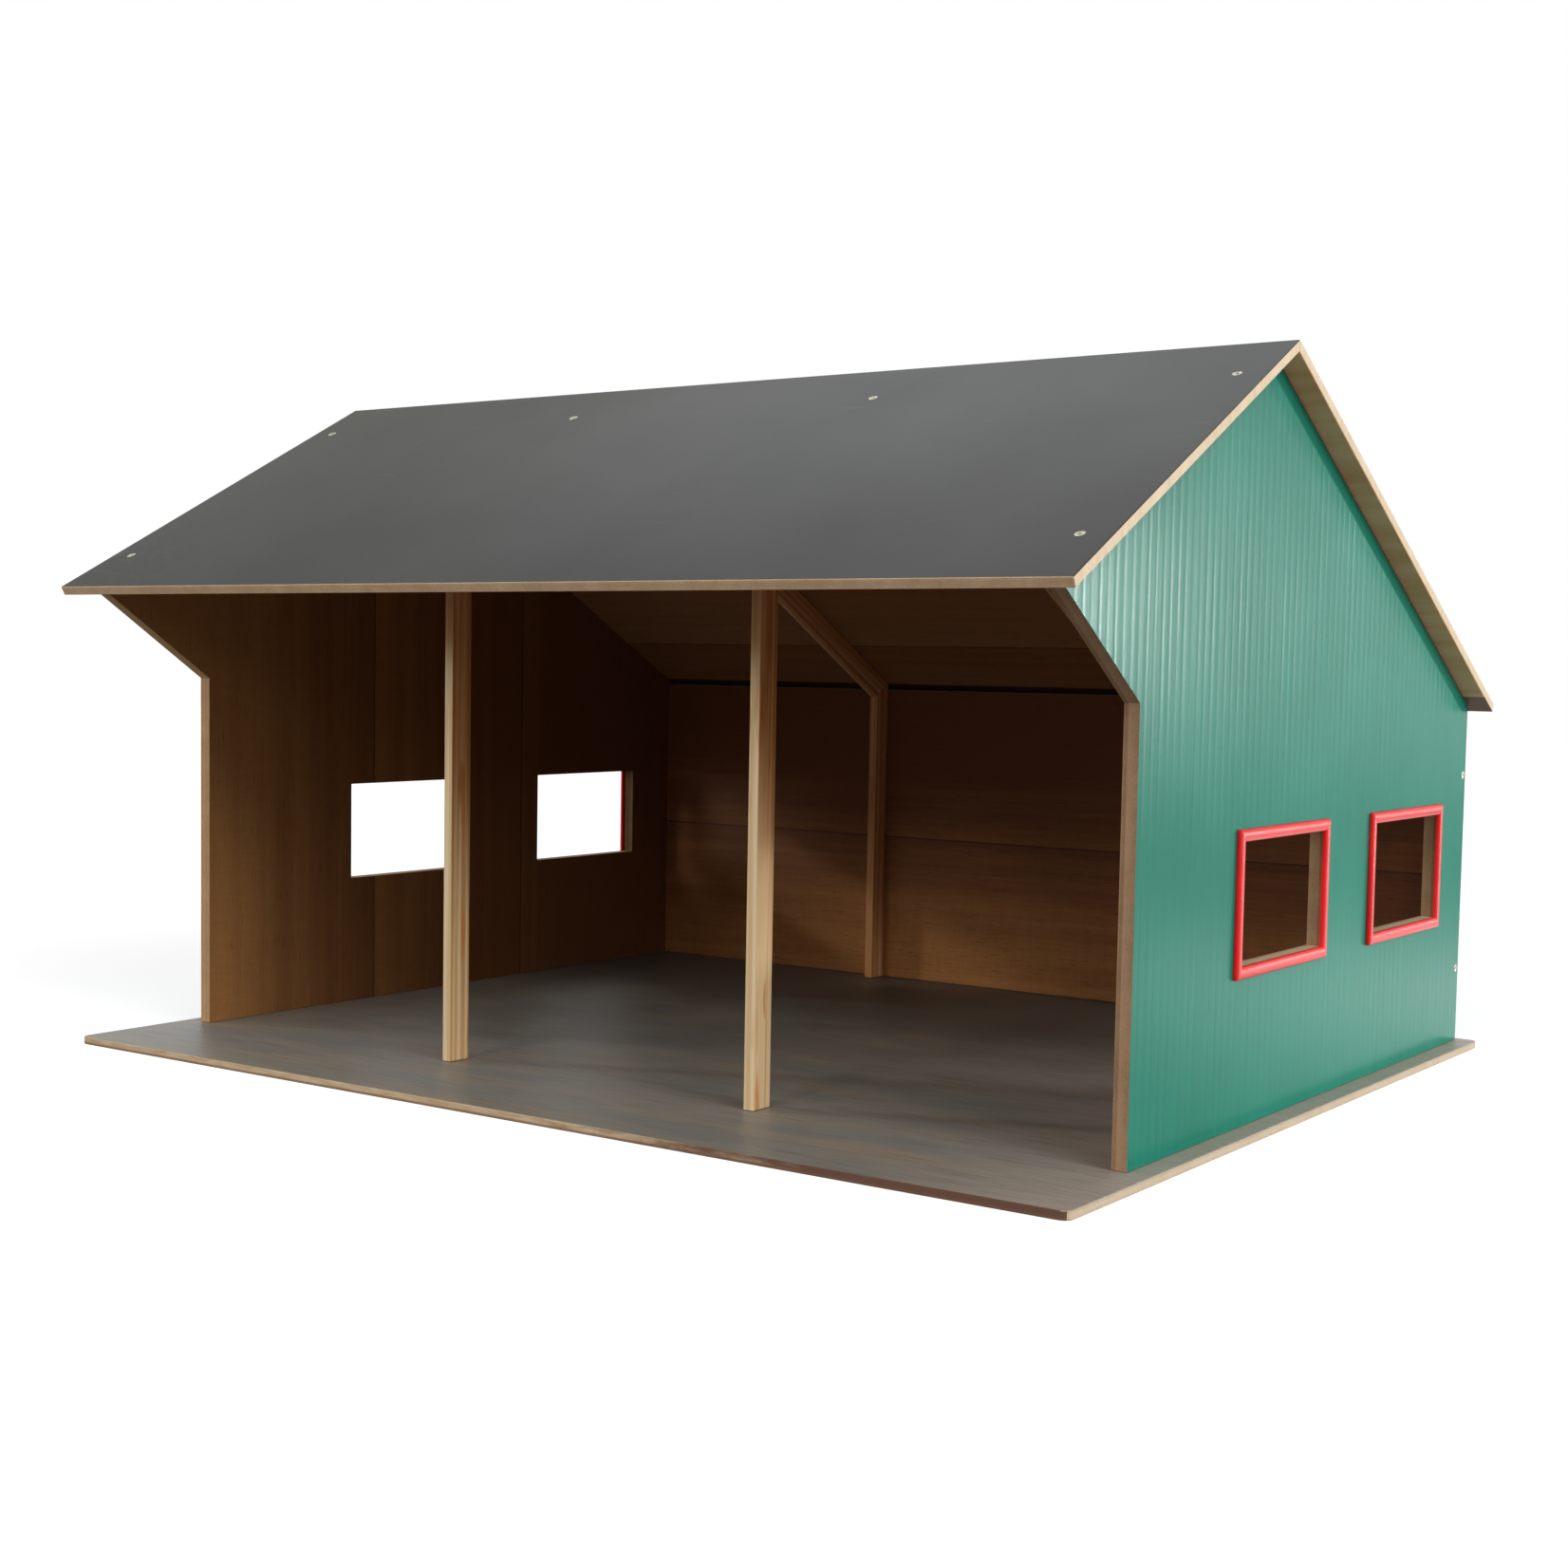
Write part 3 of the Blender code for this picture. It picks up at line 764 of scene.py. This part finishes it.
def spaced(values: Sequence[float], fixed: Sequence[float]) -> list[float]:
    """The fixed coordinates and those of the others that aren't beside one of them, in order."""
    kept = [value for value in values if all(abs(value - other) > LEAST_GAP for other in fixed)]
    return sorted([*kept, *fixed])


def mesh_of(name: str, bm: bmesh.types.BMesh) -> Mesh:
    """Turn what was built into a mesh, and free it."""
    mesh = bpy.data.meshes.new(name)
    bm.to_mesh(mesh)
    bm.free()
    return mesh


def grooved_mesh(
    name: str,
    stations: Sequence[Station],
    is_hole: Callable[[float, float], bool],
    place: Callable[[float, float, bool], Vector],
) -> Mesh:
    """A closed board from the stations across it.

    Args:
        name: The mesh's name.
        stations: The lines across the board, in order.
        is_hole: Whether a patch, given by its middle, is cut away.
        place: The point in space for a place across and along, on the grooved face or the plain one.

    Returns:
        The mesh.
    """
    patches = []
    for near, far in zip(stations, stations[1:]):
        count = min(len(near.along), len(far.along))
        near_points = [(near.across, value) for value in near.along[-count:]]
        far_points = [(far.across, value) for value in far.along[-count:]]
        for index in range(count - 1):
            corners = [near_points[index], far_points[index], far_points[index + 1], near_points[index + 1]]
            middle = [sum(corner[axis] for corner in corners) / 4 for axis in (0, 1)]
            if not is_hole(*middle):
                patches.append(list(dict.fromkeys(corners)))
    bm = bmesh.new()
    points = sorted({corner for patch in patches for corner in patch})
    front = {point: bm.verts.new(place(*point, True)) for point in points}
    back = {point: bm.verts.new(place(*point, False)) for point in points}
    for patch in patches:
        bm.faces.new([front[corner] for corner in patch])
    rim = [edge for edge in bm.edges if len(edge.link_faces) == 1]
    names = {vert: point for point, vert in front.items()}
    rim = [(names[edge.verts[0]], names[edge.verts[1]]) for edge in rim]
    for patch in patches:
        bm.faces.new([back[corner] for corner in reversed(patch)])
    for start, end in rim:
        bm.faces.new([front[start], front[end], back[end], back[start]])
    bmesh.ops.recalc_face_normals(bm, faces=bm.faces)
    return mesh_of(name, bm)


def new_piece(name: str, mesh: Mesh) -> Piece:
    """Put a mesh into the scene as an object."""
    piece = bpy.data.objects.new(name, mesh)
    bpy.context.scene.collection.objects.link(piece)
    return piece


def settle(piece: Piece) -> None:
    """Turn a piece's modifiers into its mesh."""
    bpy.context.view_layer.update()
    depsgraph = bpy.context.evaluated_depsgraph_get()
    mesh = bpy.data.meshes.new_from_object(piece.evaluated_get(depsgraph))
    piece.modifiers.clear()
    piece.data = mesh


def ease_edges(piece: Piece, width: float = 0.0004, sharp_above: float = math.inf) -> None:
    """Round a board's square edges a little, but not its grooves.

    Args:
        piece: The board.
        width: How far the rounding reaches.
        sharp_above: The height from which edges stay square.
    """
    bm = bmesh.new()
    bm.from_mesh(piece.data)
    square = [edge for edge in bm.edges if edge.calc_face_angle(0.0) > math.radians(SQUARE_EDGE)]
    square = [edge for edge in square if max(vert.co.z for vert in edge.verts) < sharp_above]
    shape = {"segments": 2, "profile": 0.5, "affect": "EDGES", "clamp_overlap": True}
    bmesh.ops.bevel(bm, geom=square, offset=width, **shape)
    bm.to_mesh(piece.data)
    bm.free()


def smooth(piece: Piece, angle: float) -> None:
    """Shade a piece smoothly, apart from its edges above an angle in degrees."""
    piece.data.shade_smooth()
    piece.data.set_sharp_from_angle(angle=math.radians(angle))


@dataclass
class ScrewHoles:
    """Countersunk holes for the screws that show in a board's face."""

    screws: tuple[str, ...]
    direction: tuple[float, float, float]
    clearance: float = 0.0003
    depth: float = 0.0026
    overrun: float = 0.002
    taper: float = 0.6
    segments: int = 24

    def cut(self, piece: Piece) -> None:
        """Sink the holes into a board."""
        out = Vector(self.direction)
        turn = out.to_track_quat("Z", "Y").to_matrix().to_4x4()
        bm = bmesh.new()
        for screw in self.screws:
            low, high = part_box(screw)
            middle = (low + high) / 2
            size = high - low
            head = middle + out * abs(out.dot(size)) / 2
            radius = max((size - out * out.dot(size))) / 2 + self.clearance
            length = self.depth + self.overrun
            seat = Matrix.Translation(head + out * (self.overrun - length / 2)) @ turn
            sizes = {"radius1": radius * self.taper, "radius2": radius, "depth": length}
            bmesh.ops.create_cone(bm, cap_ends=True, segments=self.segments, matrix=seat, **sizes)
        cutter = new_piece("screw_holes", mesh_of("screw_holes", bm))
        boolean = piece.modifiers.new("screw_holes", "BOOLEAN")
        boolean.operation = "DIFFERENCE"
        boolean.solver = "EXACT"
        boolean.object = cutter
        settle(piece)
        bpy.data.objects.remove(cutter, do_unlink=True)


# Sub-assemblies


@dataclass
class GableWall:
    """A gable: green and grooved outside, veneered inside, with a nose and two window holes."""

    side: Side
    knee_z: float = 0.248
    frame_bar: float = 0.0072
    rear_overlap: float = 0.0030
    groove_from_front: float = 0.0055
    reveal_reach: float = 0.001
    veneer: Veneer = Veneer(Axis.Z, Axis.Y, joints=(-0.059, 0.107), painted_shade_by_strip=0.40)

    def __post_init__(self) -> None:
        """Read the wall's places from its solid and from what stands on it."""
        low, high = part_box(self.node)
        self.inner_x, self.outer_x = sorted((low.x, high.x), key=abs)
        self.nose_y, self.rear_y = low.y, high.y
        self.foot_z, self.ridge_z = low.z, high.z
        self.ridge_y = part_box("front_roof_panel")[1].y
        self.front_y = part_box(f"{self.side.word}_front_post")[0].y
        self.windows = []
        for word in ("front", "rear"):
            corner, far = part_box(f"{self.side.word}_{word}_window_frame")
            bar = Vector((0.0, self.frame_bar, self.frame_bar))
            self.windows.append((corner + bar, far - bar + Vector((0.0, self.rear_overlap, 0.0))))

    @property
    def node(self) -> str:
        """The name of the wall's solid."""
        return f"{self.side.word}_gable_wall"

    def slope_z(self, y: float) -> float:
        """The height of the wall's top at a depth."""
        return self.ridge_z - abs(y - self.ridge_y) * math.tan(ROOF_PITCH)

    def station(self, y: float) -> Station:
        """The points up the wall at a depth.

        Args:
            y: The depth.

        Returns:
            Four levels and the top behind the knee, and the two ends of the line ahead of it.
        """
        top = self.slope_z(y)
        if y > self.front_y - MERGE_DISTANCE:
            low, high = self.windows[0]
            return Station(y, (self.foot_z, low.z, high.z, self.knee_z, top))
        share = (y - self.nose_y) / (self.front_y - self.nose_y)
        tip_z = self.slope_z(self.nose_y)
        return Station(y, (tip_z + share * (self.knee_z - tip_z), top))

    def in_window(self, y: float, z: float) -> bool:
        """Whether a place lies in a window hole."""
        return any(low.y < y < high.y and low.z < z < high.z for low, high in self.windows)

    def beside_window(self, place: Vector) -> bool:
        """Whether a place on an edge is on the side of a window hole."""
        reach = Vector((0.0, self.reveal_reach, self.reveal_reach))
        spans = [(low - reach, high + reach) for low, high in self.windows]
        return any(low.y < place.y < high.y and low.z < place.z < high.z for low, high in spans)

    def build(self) -> Piece:
        """Build the wall that stands for the solid."""
        grooves = Grooves(self.front_y + self.groove_from_front)
        fixed = [self.nose_y, self.front_y, self.ridge_y, self.rear_y]
        fixed += [y for low, high in self.windows for y in (low.y, high.y)]
        stations = [self.station(y) for y in spaced(grooves.stations(self.nose_y, self.rear_y), fixed)]

        def place(y: float, z: float, grooved: bool) -> Vector:
            """The point on the outer or inner face."""
            outer = self.outer_x - self.side.value * grooves.inset(y)
            return Vector((outer if grooved else self.inner_x, y, z))

        mesh = grooved_mesh(self.node + "_grooved", stations, self.in_window, place)
        wall = new_piece(f"{self.side.word}_gable_grooved", mesh)
        ease_edges(wall)
        screws = tuple(f"{self.side.word}_gable_screw_{number}" for number in (1, 2))
        ScrewHoles(screws, (float(self.side.value), 0.0, 0.0)).cut(wall)
        smooth(wall, GROOVE_ANGLE)
        self.dress(wall)
        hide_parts(self.node)
        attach(wall, BODY)
        return wall

    def dress(self, wall: Piece) -> None:
        """Paint the outside, veneer the inside and leave the edges raw."""
        rim, reveal = SawnEdge(GOLDEN_EDGE, GOLDEN_EDGE_DARK, Axis.X), DARK_REVEAL
        if self.side is Side.RIGHT:
            rim, reveal = SawnEdge(BROWN_EDGE, BROWN_EDGE_DARK, Axis.X), PALE_REVEAL
        name, sills = f"{self.side.word}_gable", (Facing(UP, SILL),)
        coverings = BoardCoverings(name, GreenPaint(), self.veneer, rim, reveal, sills)
        coverings.dress(wall, (self.side.value, 0.0, 0.0), self.beside_window)


@dataclass
class BackWall:
    """The back wall: veneered inside, green and grooved outside with its grain lying."""

    node: str = "back_wall"
    raised: float = 0.00025
    groove_from_foot: float = 0.0055
    veneer: Veneer = Veneer(
        Axis.X,
        Axis.Z,
        joints=(0.123,),
        strip_width=0.118,
        painted_shade_by_strip=0.66,
        golden=(0.470, 0.205, 0.062),
        deep=(0.185, 0.066, 0.026),
    )

    def build(self) -> Piece:
        """Build the wall that stands for the solid."""
        low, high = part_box(self.node)
        grooves = Grooves(low.z + self.groove_from_foot)
        top = high.z + self.raised
        levels = spaced(grooves.stations(low.z, top), [low.z, top])
        stations = [Station(z, (low.x, high.x)) for z in levels]

        def place(z: float, x: float, grooved: bool) -> Vector:
            """The point on the rear or front face."""
            return Vector((x, high.y - grooves.inset(z) if grooved else low.y, z))

        name = "back_wall_grooved"
        wall = new_piece(name, grooved_mesh(name, stations, lambda z, x: False, place))
        ease_edges(wall, sharp_above=high.z)
        smooth(wall, GROOVE_ANGLE)
        edge = SawnEdge(BROWN_EDGE, BROWN_EDGE_DARK, Axis.Y)
        coverings = BoardCoverings(self.node, GreenPaint(along=Axis.X), self.veneer, edge, edge)
        coverings.dress(wall, (0.0, 1.0, 0.0), lambda place: False)
        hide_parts(self.node)
        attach(wall, BODY)
        return wall


@dataclass
class Roof:
    """The two roof panels: grey on top, veneered below, with pale raw edges."""

    eave_shade: tuple[float, float] = (-0.10, -0.33)
    seat: tuple[float, float] = (0.2990, 0.3010)
    veneer: Veneer = Veneer(
        Axis.X,
        Axis.Y,
        joints=(-0.035, 0.110, 0.244),
        strip_width=0.145,
        golden_edge_first=False,
        golden=(0.420, 0.225, 0.105),
        deep=(0.290, 0.115, 0.046),
    )

    def build(self) -> None:
        """Dress both panels."""
        for word, way in (("front", -1.0), ("rear", 1.0)):
            up = (0.0, way * math.sin(ROOF_PITCH), math.cos(ROOF_PITCH))
            down = (0.0, -up[1], -up[2])
            end = (0.0, way * math.cos(ROOF_PITCH), -math.sin(ROOF_PITCH))
            # Painted shade: the roof's paint is darkened towards the front eave.
            paint = PaintedShade(RoofPaint(), EAVE_PAINTED_SHADE, Axis.Y, *self.eave_shade)
            below: Finish = PaintedLightEnds(self.veneer)
            if word == "rear":
                # Painted shadow: a dark band on the underside where the rear panel sits on the back wall.
                below = PaintedShade(below, SEAT_PAINTED_SHADOW, Axis.Y, *self.seat)
            cut = SawnEdge(EAVE_EDGE, EAVE_EDGE_DARK, Axis.Z, layer=0.002)
            faces = (Facing(up, paint), Facing(down, below), Facing(end, cut))
            # Painted light: the verges' raw edges are a lighter copy of the panels' cut edges.
            edge = SawnEdge(PAINTED_LIGHT_VERGE, PAINTED_LIGHT_VERGE_DARK, Axis.Y, layer=0.004, layer_contrast=0.2)
            dress(f"{word}_roof_panel", Covering(f"{word}_roof", edge, faces, specular=0.14).material())


@dataclass
class BaseBoard:
    """The base board: stained top, raw edges and a plain brown underside."""

    node: str = "base_board"
    underside: Veneer = Veneer(
        Axis.X, Axis.Y, joints=(-0.15, 0.016, 0.182), golden=(0.30, 0.21, 0.12), deep=(0.20, 0.13, 0.07)
    )

    def build(self) -> None:
        """Dress the board."""
        edge = SawnEdge(PALE_EDGE, PALE_EDGE_DARK, Axis.Z, layer=0.0017, layer_contrast=0.25)
        front = Facing((0.0, -1.0, 0.0), FrontEdge())
        faces = (Facing(UP, StainedTop()), Facing((0.0, 0.0, -1.0), self.underside), front)
        dress(self.node, Covering("base", edge, faces, specular=0.26).material())


@dataclass
class InnerFrames:
    """The posts and rafters at the bay divisions, of bare planed strip, with painted shade where they stand
    in the shed's shade.
    """

    shifts: dict[str, tuple[float, float, float]] = field(default_factory=lambda: {
        "left_front_post": (0.31, 0.12, 0.40),
        "right_front_post": (0.85, 0.53, 0.17),
        "left_rear_post": (1.37, 0.91, 0.66),
        "right_rear_post": (1.92, 1.24, 0.23),
        "left_front_rafter": (2.41, 1.63, 0.81),
        "right_front_rafter": (2.98, 2.05, 0.35),
        "left_rear_rafter": (3.46, 2.37, 0.72),
        "right_rear_rafter": (3.93, 2.79, 0.09),
    })
    side_shade_reach: tuple[float, float] = (0.08, 0.25)
    top_shadow_reach: tuple[float, float] = (0.256, 0.282)

    def build(self) -> None:
        """Dress every strip, each with a grain of its own."""
        for node, shift in self.shifts.items():
            turn = 0.0
            if "rafter" in node:
                turn = math.pi / 2 - ROOF_PITCH if "front" in node else ROOF_PITCH - math.pi / 2
            # Painted shade: the rear posts and the rafters take a darker, redder copy of the pine.
            front = side = PlanedWood(Axis.Z, INNER_SHADED_PALE, INNER_SHADED_LATE, STRIP_FLAME, shift, turn)
            if "front_post" in node:
                # Painted shade: the front posts' sides take a darker, oranger copy of the pine, darker still
                # towards the top.
                pale = PlanedWood(Axis.Z, SHADED_SIDE_PALE, SHADED_SIDE_LATE, STRIP_FLAME, shift)
                side = PaintedShade(pale, POST_SIDE_PAINTED_SHADE, Axis.Z, *self.side_shade_reach)
                # Painted shadow of the eave on the front posts' fronts near their tops.
                front = PaintedShade(PlanedWood(shift=shift), POST_TOP_PAINTED_SHADOW, Axis.Z, *self.top_shadow_reach)
            faces = (Facing((1.0, 0.0, 0.0), side), Facing((-1.0, 0.0, 0.0), side))
            dress(node, Covering(node, front, faces, specular=0.15).material())


@dataclass
class WindowFrame:
    """A red window frame: four bars of half-round section, mitred, with round outer corners."""

    side: Side
    word: str
    bar: float = 0.0072
    straight: float = 0.30
    corner: float = 0.0016
    least_corner: float = 0.00015
    section_steps: int = 12
    corner_steps: int = 4
    fullness: float = 0.7
    smooth_to: float = 40.0

    @property
    def node(self) -> str:
        """The name of the frame's solid."""
        return f"{self.side.word}_{self.word}_window_frame"

    def section(self, depth: float) -> list[tuple[float, float]]:
        """The bar's outline from its outer foot over its crown to its inner foot.

        Args:
            depth: How far the frame stands off the wall.

        Returns:
            Pairs of the distance from the outer edge and the height over the wall.
        """
        foot = self.straight * depth
        half = self.bar / 2
        crown = []
        for step in range(self.section_steps + 1):
            angle = math.pi * step / self.section_steps
            rise = math.sin(angle) ** self.fullness
            crown.append((half - half * math.cos(angle), foot + (depth - foot) * rise))
        return [(0.0, 0.0), *crown, (self.bar, 0.0)]

    def ring(self, low: Vector, high: Vector, inset: float, x: float) -> list[Vector]:
        """The points round the frame at one line of its section.

        Args:
            low: The frame's lowest corner.
            high: Its highest corner.
            inset: The line's distance from the outer edge.
            x: The line's place along X.

        Returns:
            The points in order, with an arc at every corner.
        """
        radius = max(self.corner - inset, self.least_corner)
        points = []
        outline = ((high.y, high.z), (low.y, high.z), (low.y, low.z), (high.y, low.z))
        for turn, (y, z) in enumerate(outline):
            across = -1 if y == high.y else 1
            along = -1 if z == high.z else 1
            middle = (y + across * (inset + radius), z + along * (inset + radius))
            for step in range(self.corner_steps + 1):
                angle = math.pi / 2 * (turn + step / self.corner_steps)
                offset = (radius * math.cos(angle), radius * math.sin(angle))
                points.append(Vector((x, middle[0] + offset[0], middle[1] + offset[1])))
        return points

    def build(self) -> Piece:
        """Build the frame that stands for the solid."""
        low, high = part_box(self.node)
        wall_x, out_x = sorted((low.x, high.x), key=abs)
        bm = bmesh.new()
        rings = []
        for inset, height in self.section(high.x - low.x):
            x = wall_x + math.copysign(height, out_x)
            rings.append([bm.verts.new(point) for point in self.ring(low, high, inset, x)])
        for ring, following in zip(rings, rings[1:] + rings[:1]):
            for index in range(len(ring)):
                after = (index + 1) % len(ring)
                bm.faces.new([ring[index], ring[after], following[after], following[index]])
        bmesh.ops.recalc_face_normals(bm, faces=bm.faces)
        piece = new_piece(f"{self.side.word}_{self.word}_frame_rounded", mesh_of(self.node, bm))
        smooth(piece, self.smooth_to)
        piece.data.materials.append(Covering(self.node, RedMoulding(), specular=0.22).material())
        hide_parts(self.node)
        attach(piece, BODY)
        return piece


@dataclass
class Screws:
    """Every screw, in dull zinc plate."""

    def build(self) -> None:
        """Dress the screws with one shared material."""
        material = Covering("zinc_screw", ZincPlate(), specular=0.5, metallic=0.55).material()
        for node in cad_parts:
            if "_screw_" in node:
                dress(node, material)


# Floor, light and camera


@dataclass
class Stage:
    """A plain pale floor that shows white where light reaches it and keeps the soft shadow."""

    half_width: float = 8.0
    bounce: Colour = (0.30, 0.30, 0.30)
    seen: Colour = (0.60, 0.60, 0.60)
    lift: float = 0.64
    reflection_glow: float = 1.50
    reflection_glow_middle: tuple[float, float, float] = (0.62, 0.52, 0.0)
    reflection_glow_reach: float = 0.62
    reflection_dim: float = -0.55
    reflection_dim_near: tuple[float, float] = (0.55, 0.95)
    reflection_dim_far: tuple[float, float] = (5.0, 2.6)

    def build(self) -> Piece:
        """Lay the floor."""
        bm = bmesh.new()
        bmesh.ops.create_grid(bm, x_segments=1, y_segments=1, size=self.half_width)
        floor = new_piece("floor", mesh_of("floor", bm))
        floor.data.materials.append(self.material())
        return floor

    def material(self) -> bpy.types.Material:
        """Build the floor's material.

        Returns:
            A matt floor that looks paler than it lights the object, with a painted reflection: it glows in
            the paint near the shed and less further off.
        """
        graph = Graph(bpy.data.materials.new("pale_floor"))
        glossy = graph.node("ShaderNodeLightPath", {}).outputs["Is Glossy Ray"]
        # Painted reflection: near the shed the floor glows for mirrored rays only, and dims in a ring further
        # off.
        distance = graph.vector("DISTANCE", graph.coordinates["Object"], self.reflection_glow_middle, "Value")
        patch = graph.times(graph.window(distance, self.reflection_glow_reach, 0.0), glossy)
        strength = graph.scaled(patch, self.reflection_glow, self.lift)
        reflection_ring = graph.times(graph.window(distance, *self.reflection_dim_near), graph.window(distance, *self.reflection_dim_far))
        strength = graph.scaled(graph.times(reflection_ring, glossy), self.reflection_dim, strength)
        plain = graph.node("ShaderNodeBsdfDiffuse", {"Color": rgba(self.bounce)}).outputs[0]
        pale = graph.node("ShaderNodeBsdfDiffuse", {"Color": rgba(self.seen)}).outputs[0]
        glow = graph.node("ShaderNodeEmission", {"Color": WHITE, "Strength": strength}).outputs[0]
        lit = graph.node("ShaderNodeAddShader", {0: pale, 1: glow}).outputs[0]
        shown = graph.node("ShaderNodeMixShader", {0: graph.visible(), 1: plain, 2: lit}).outputs[0]
        graph.node("ShaderNodeOutputMaterial", {"Surface": shown})
        return graph.owner


@dataclass(frozen=True)
class SoftLamp:
    """A far, wide lamp: where its light comes from, how wide it looks and how strong it is."""

    name: str
    direction: tuple[float, float, float]
    width: float
    level: float

    def build(self) -> Piece:
        """Hang the lamp, whose level is 1 where a white surface that faces it shows white."""
        light = bpy.data.lights.new(self.name, "SUN")
        light.angle = math.radians(self.width)
        light.energy = math.pi * self.level
        lamp = bpy.data.objects.new(self.name, light)
        lamp.rotation_euler = Vector(self.direction).to_track_quat("Z", "Y").to_euler()
        bpy.context.scene.collection.objects.link(lamp)
        return lamp


@dataclass
class Studio:
    """Soft light from the windows round the room and from above, with a white surround."""

    ambient: float = 0.18
    lamps: tuple[SoftLamp, ...] = (
        SoftLamp("right_window", (0.925, -0.163, 0.342), 20.0, 0.259),
        SoftLamp("front_sky", (0.075, -0.854, 0.515), 13.0, 0.165),
        SoftLamp("right_sky", (0.714, -0.333, 0.616), 26.0, 0.230),
        SoftLamp("left_window", (-0.700, -0.700, 0.139), 18.0, 0.105),
        SoftLamp("left_lamp", (-0.858, -0.382, 0.342), 5.0, 0.200),
        SoftLamp("front_window", (-0.259, -0.903, 0.342), 14.0, 0.100),
        SoftLamp("right_front_window", (0.476, -0.824, 0.309), 12.0, 0.044),
        SoftLamp("side_window", (0.853, 0.492, 0.174), 20.0, 0.110),
        SoftLamp("rear_sky", (0.000, 0.707, 0.707), 28.0, 0.100),
        SoftLamp("side_sky", (0.805, -0.085, 0.588), 24.0, 0.070),
        SoftLamp("low_window", (0.991, 0.087, 0.105), 20.0, 0.071),
        SoftLamp("far_window", (0.559, 0.829, 0.028), 2.5, 0.330),
        SoftLamp("left_sky", (-0.478, 0.569, 0.669), 24.0, 0.035),
    )

    def build(self) -> None:
        """Light the scene."""
        for lamp in self.lamps:
            lamp.build()
        graph = Graph(bpy.data.worlds.new("white_surround"))
        bpy.context.scene.world = graph.owner
        strength = graph.span(graph.visible(), self.ambient, 1.0)
        surround = graph.node("ShaderNodeBackground", {"Color": WHITE, "Strength": strength})
        graph.node("ShaderNodeOutputWorld", {"Surface": surround.outputs[0]})


@dataclass
class PhotoCamera:
    """The camera at the photograph's place, from the fit to its edges."""

    location: tuple[float, float, float] = (0.84735, -1.22501, 0.26418)
    yaw: float = 35.0579
    pitch: float = -3.9170
    roll: float = 1.0026
    focal_pixels: float = 2279.07
    frame_pixels: float = 1652.0
    centre_row: float = 856.77
    sensor: float = 36.0
    nearest: float = 0.01

    def build(self) -> Piece:
        """Set the camera up."""
        yaw, pitch, roll = (math.radians(angle) for angle in (self.yaw, self.pitch, self.roll))
        forward = Vector((-math.sin(yaw) * math.cos(pitch), math.cos(yaw) * math.cos(pitch), math.sin(pitch)))
        level = Vector((math.cos(yaw), math.sin(yaw), 0.0))
        upright = level.cross(forward)
        right = math.cos(roll) * level + math.sin(roll) * upright
        up = math.cos(roll) * upright - math.sin(roll) * level
        data = bpy.data.cameras.new("photo_camera")
        data.sensor_fit = "HORIZONTAL"
        data.sensor_width = self.sensor
        data.lens = self.focal_pixels / self.frame_pixels * self.sensor
        data.shift_y = (self.centre_row - self.frame_pixels / 2) / self.frame_pixels
        data.clip_start = self.nearest
        camera = bpy.data.objects.new("photo_camera", data)
        turn = Matrix((right, up, -forward)).transposed().to_4x4()
        camera.matrix_world = Matrix.Translation(self.location) @ turn
        bpy.context.scene.collection.objects.link(camera)
        bpy.context.scene.camera = camera
        return camera


def corners(box: tuple[Vector, Vector]) -> list[list[float]]:
    """A box's two corners as plain numbers."""
    return [list(box[0]), list(box[1])]


def main() -> None:
    """Build the shed's looks, its light and its camera."""
    logging.basicConfig(level=logging.INFO, format="%(name)s: %(message)s")
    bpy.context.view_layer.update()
    for side in Side:
        LOG.info("built %s", GableWall(side).build().name)
    LOG.info("built %s", BackWall().build().name)
    Roof().build()
    BaseBoard().build()
    InnerFrames().build()
    for side in Side:
        for word in ("front", "rear"):
            LOG.info("built %s", WindowFrame(side, word).build().name)
    Screws().build()
    Stage().build()
    Studio().build()
    PhotoCamera().build()
    bpy.context.scene.view_settings.view_transform = "Standard"


if __name__ == "__main__":
    main()
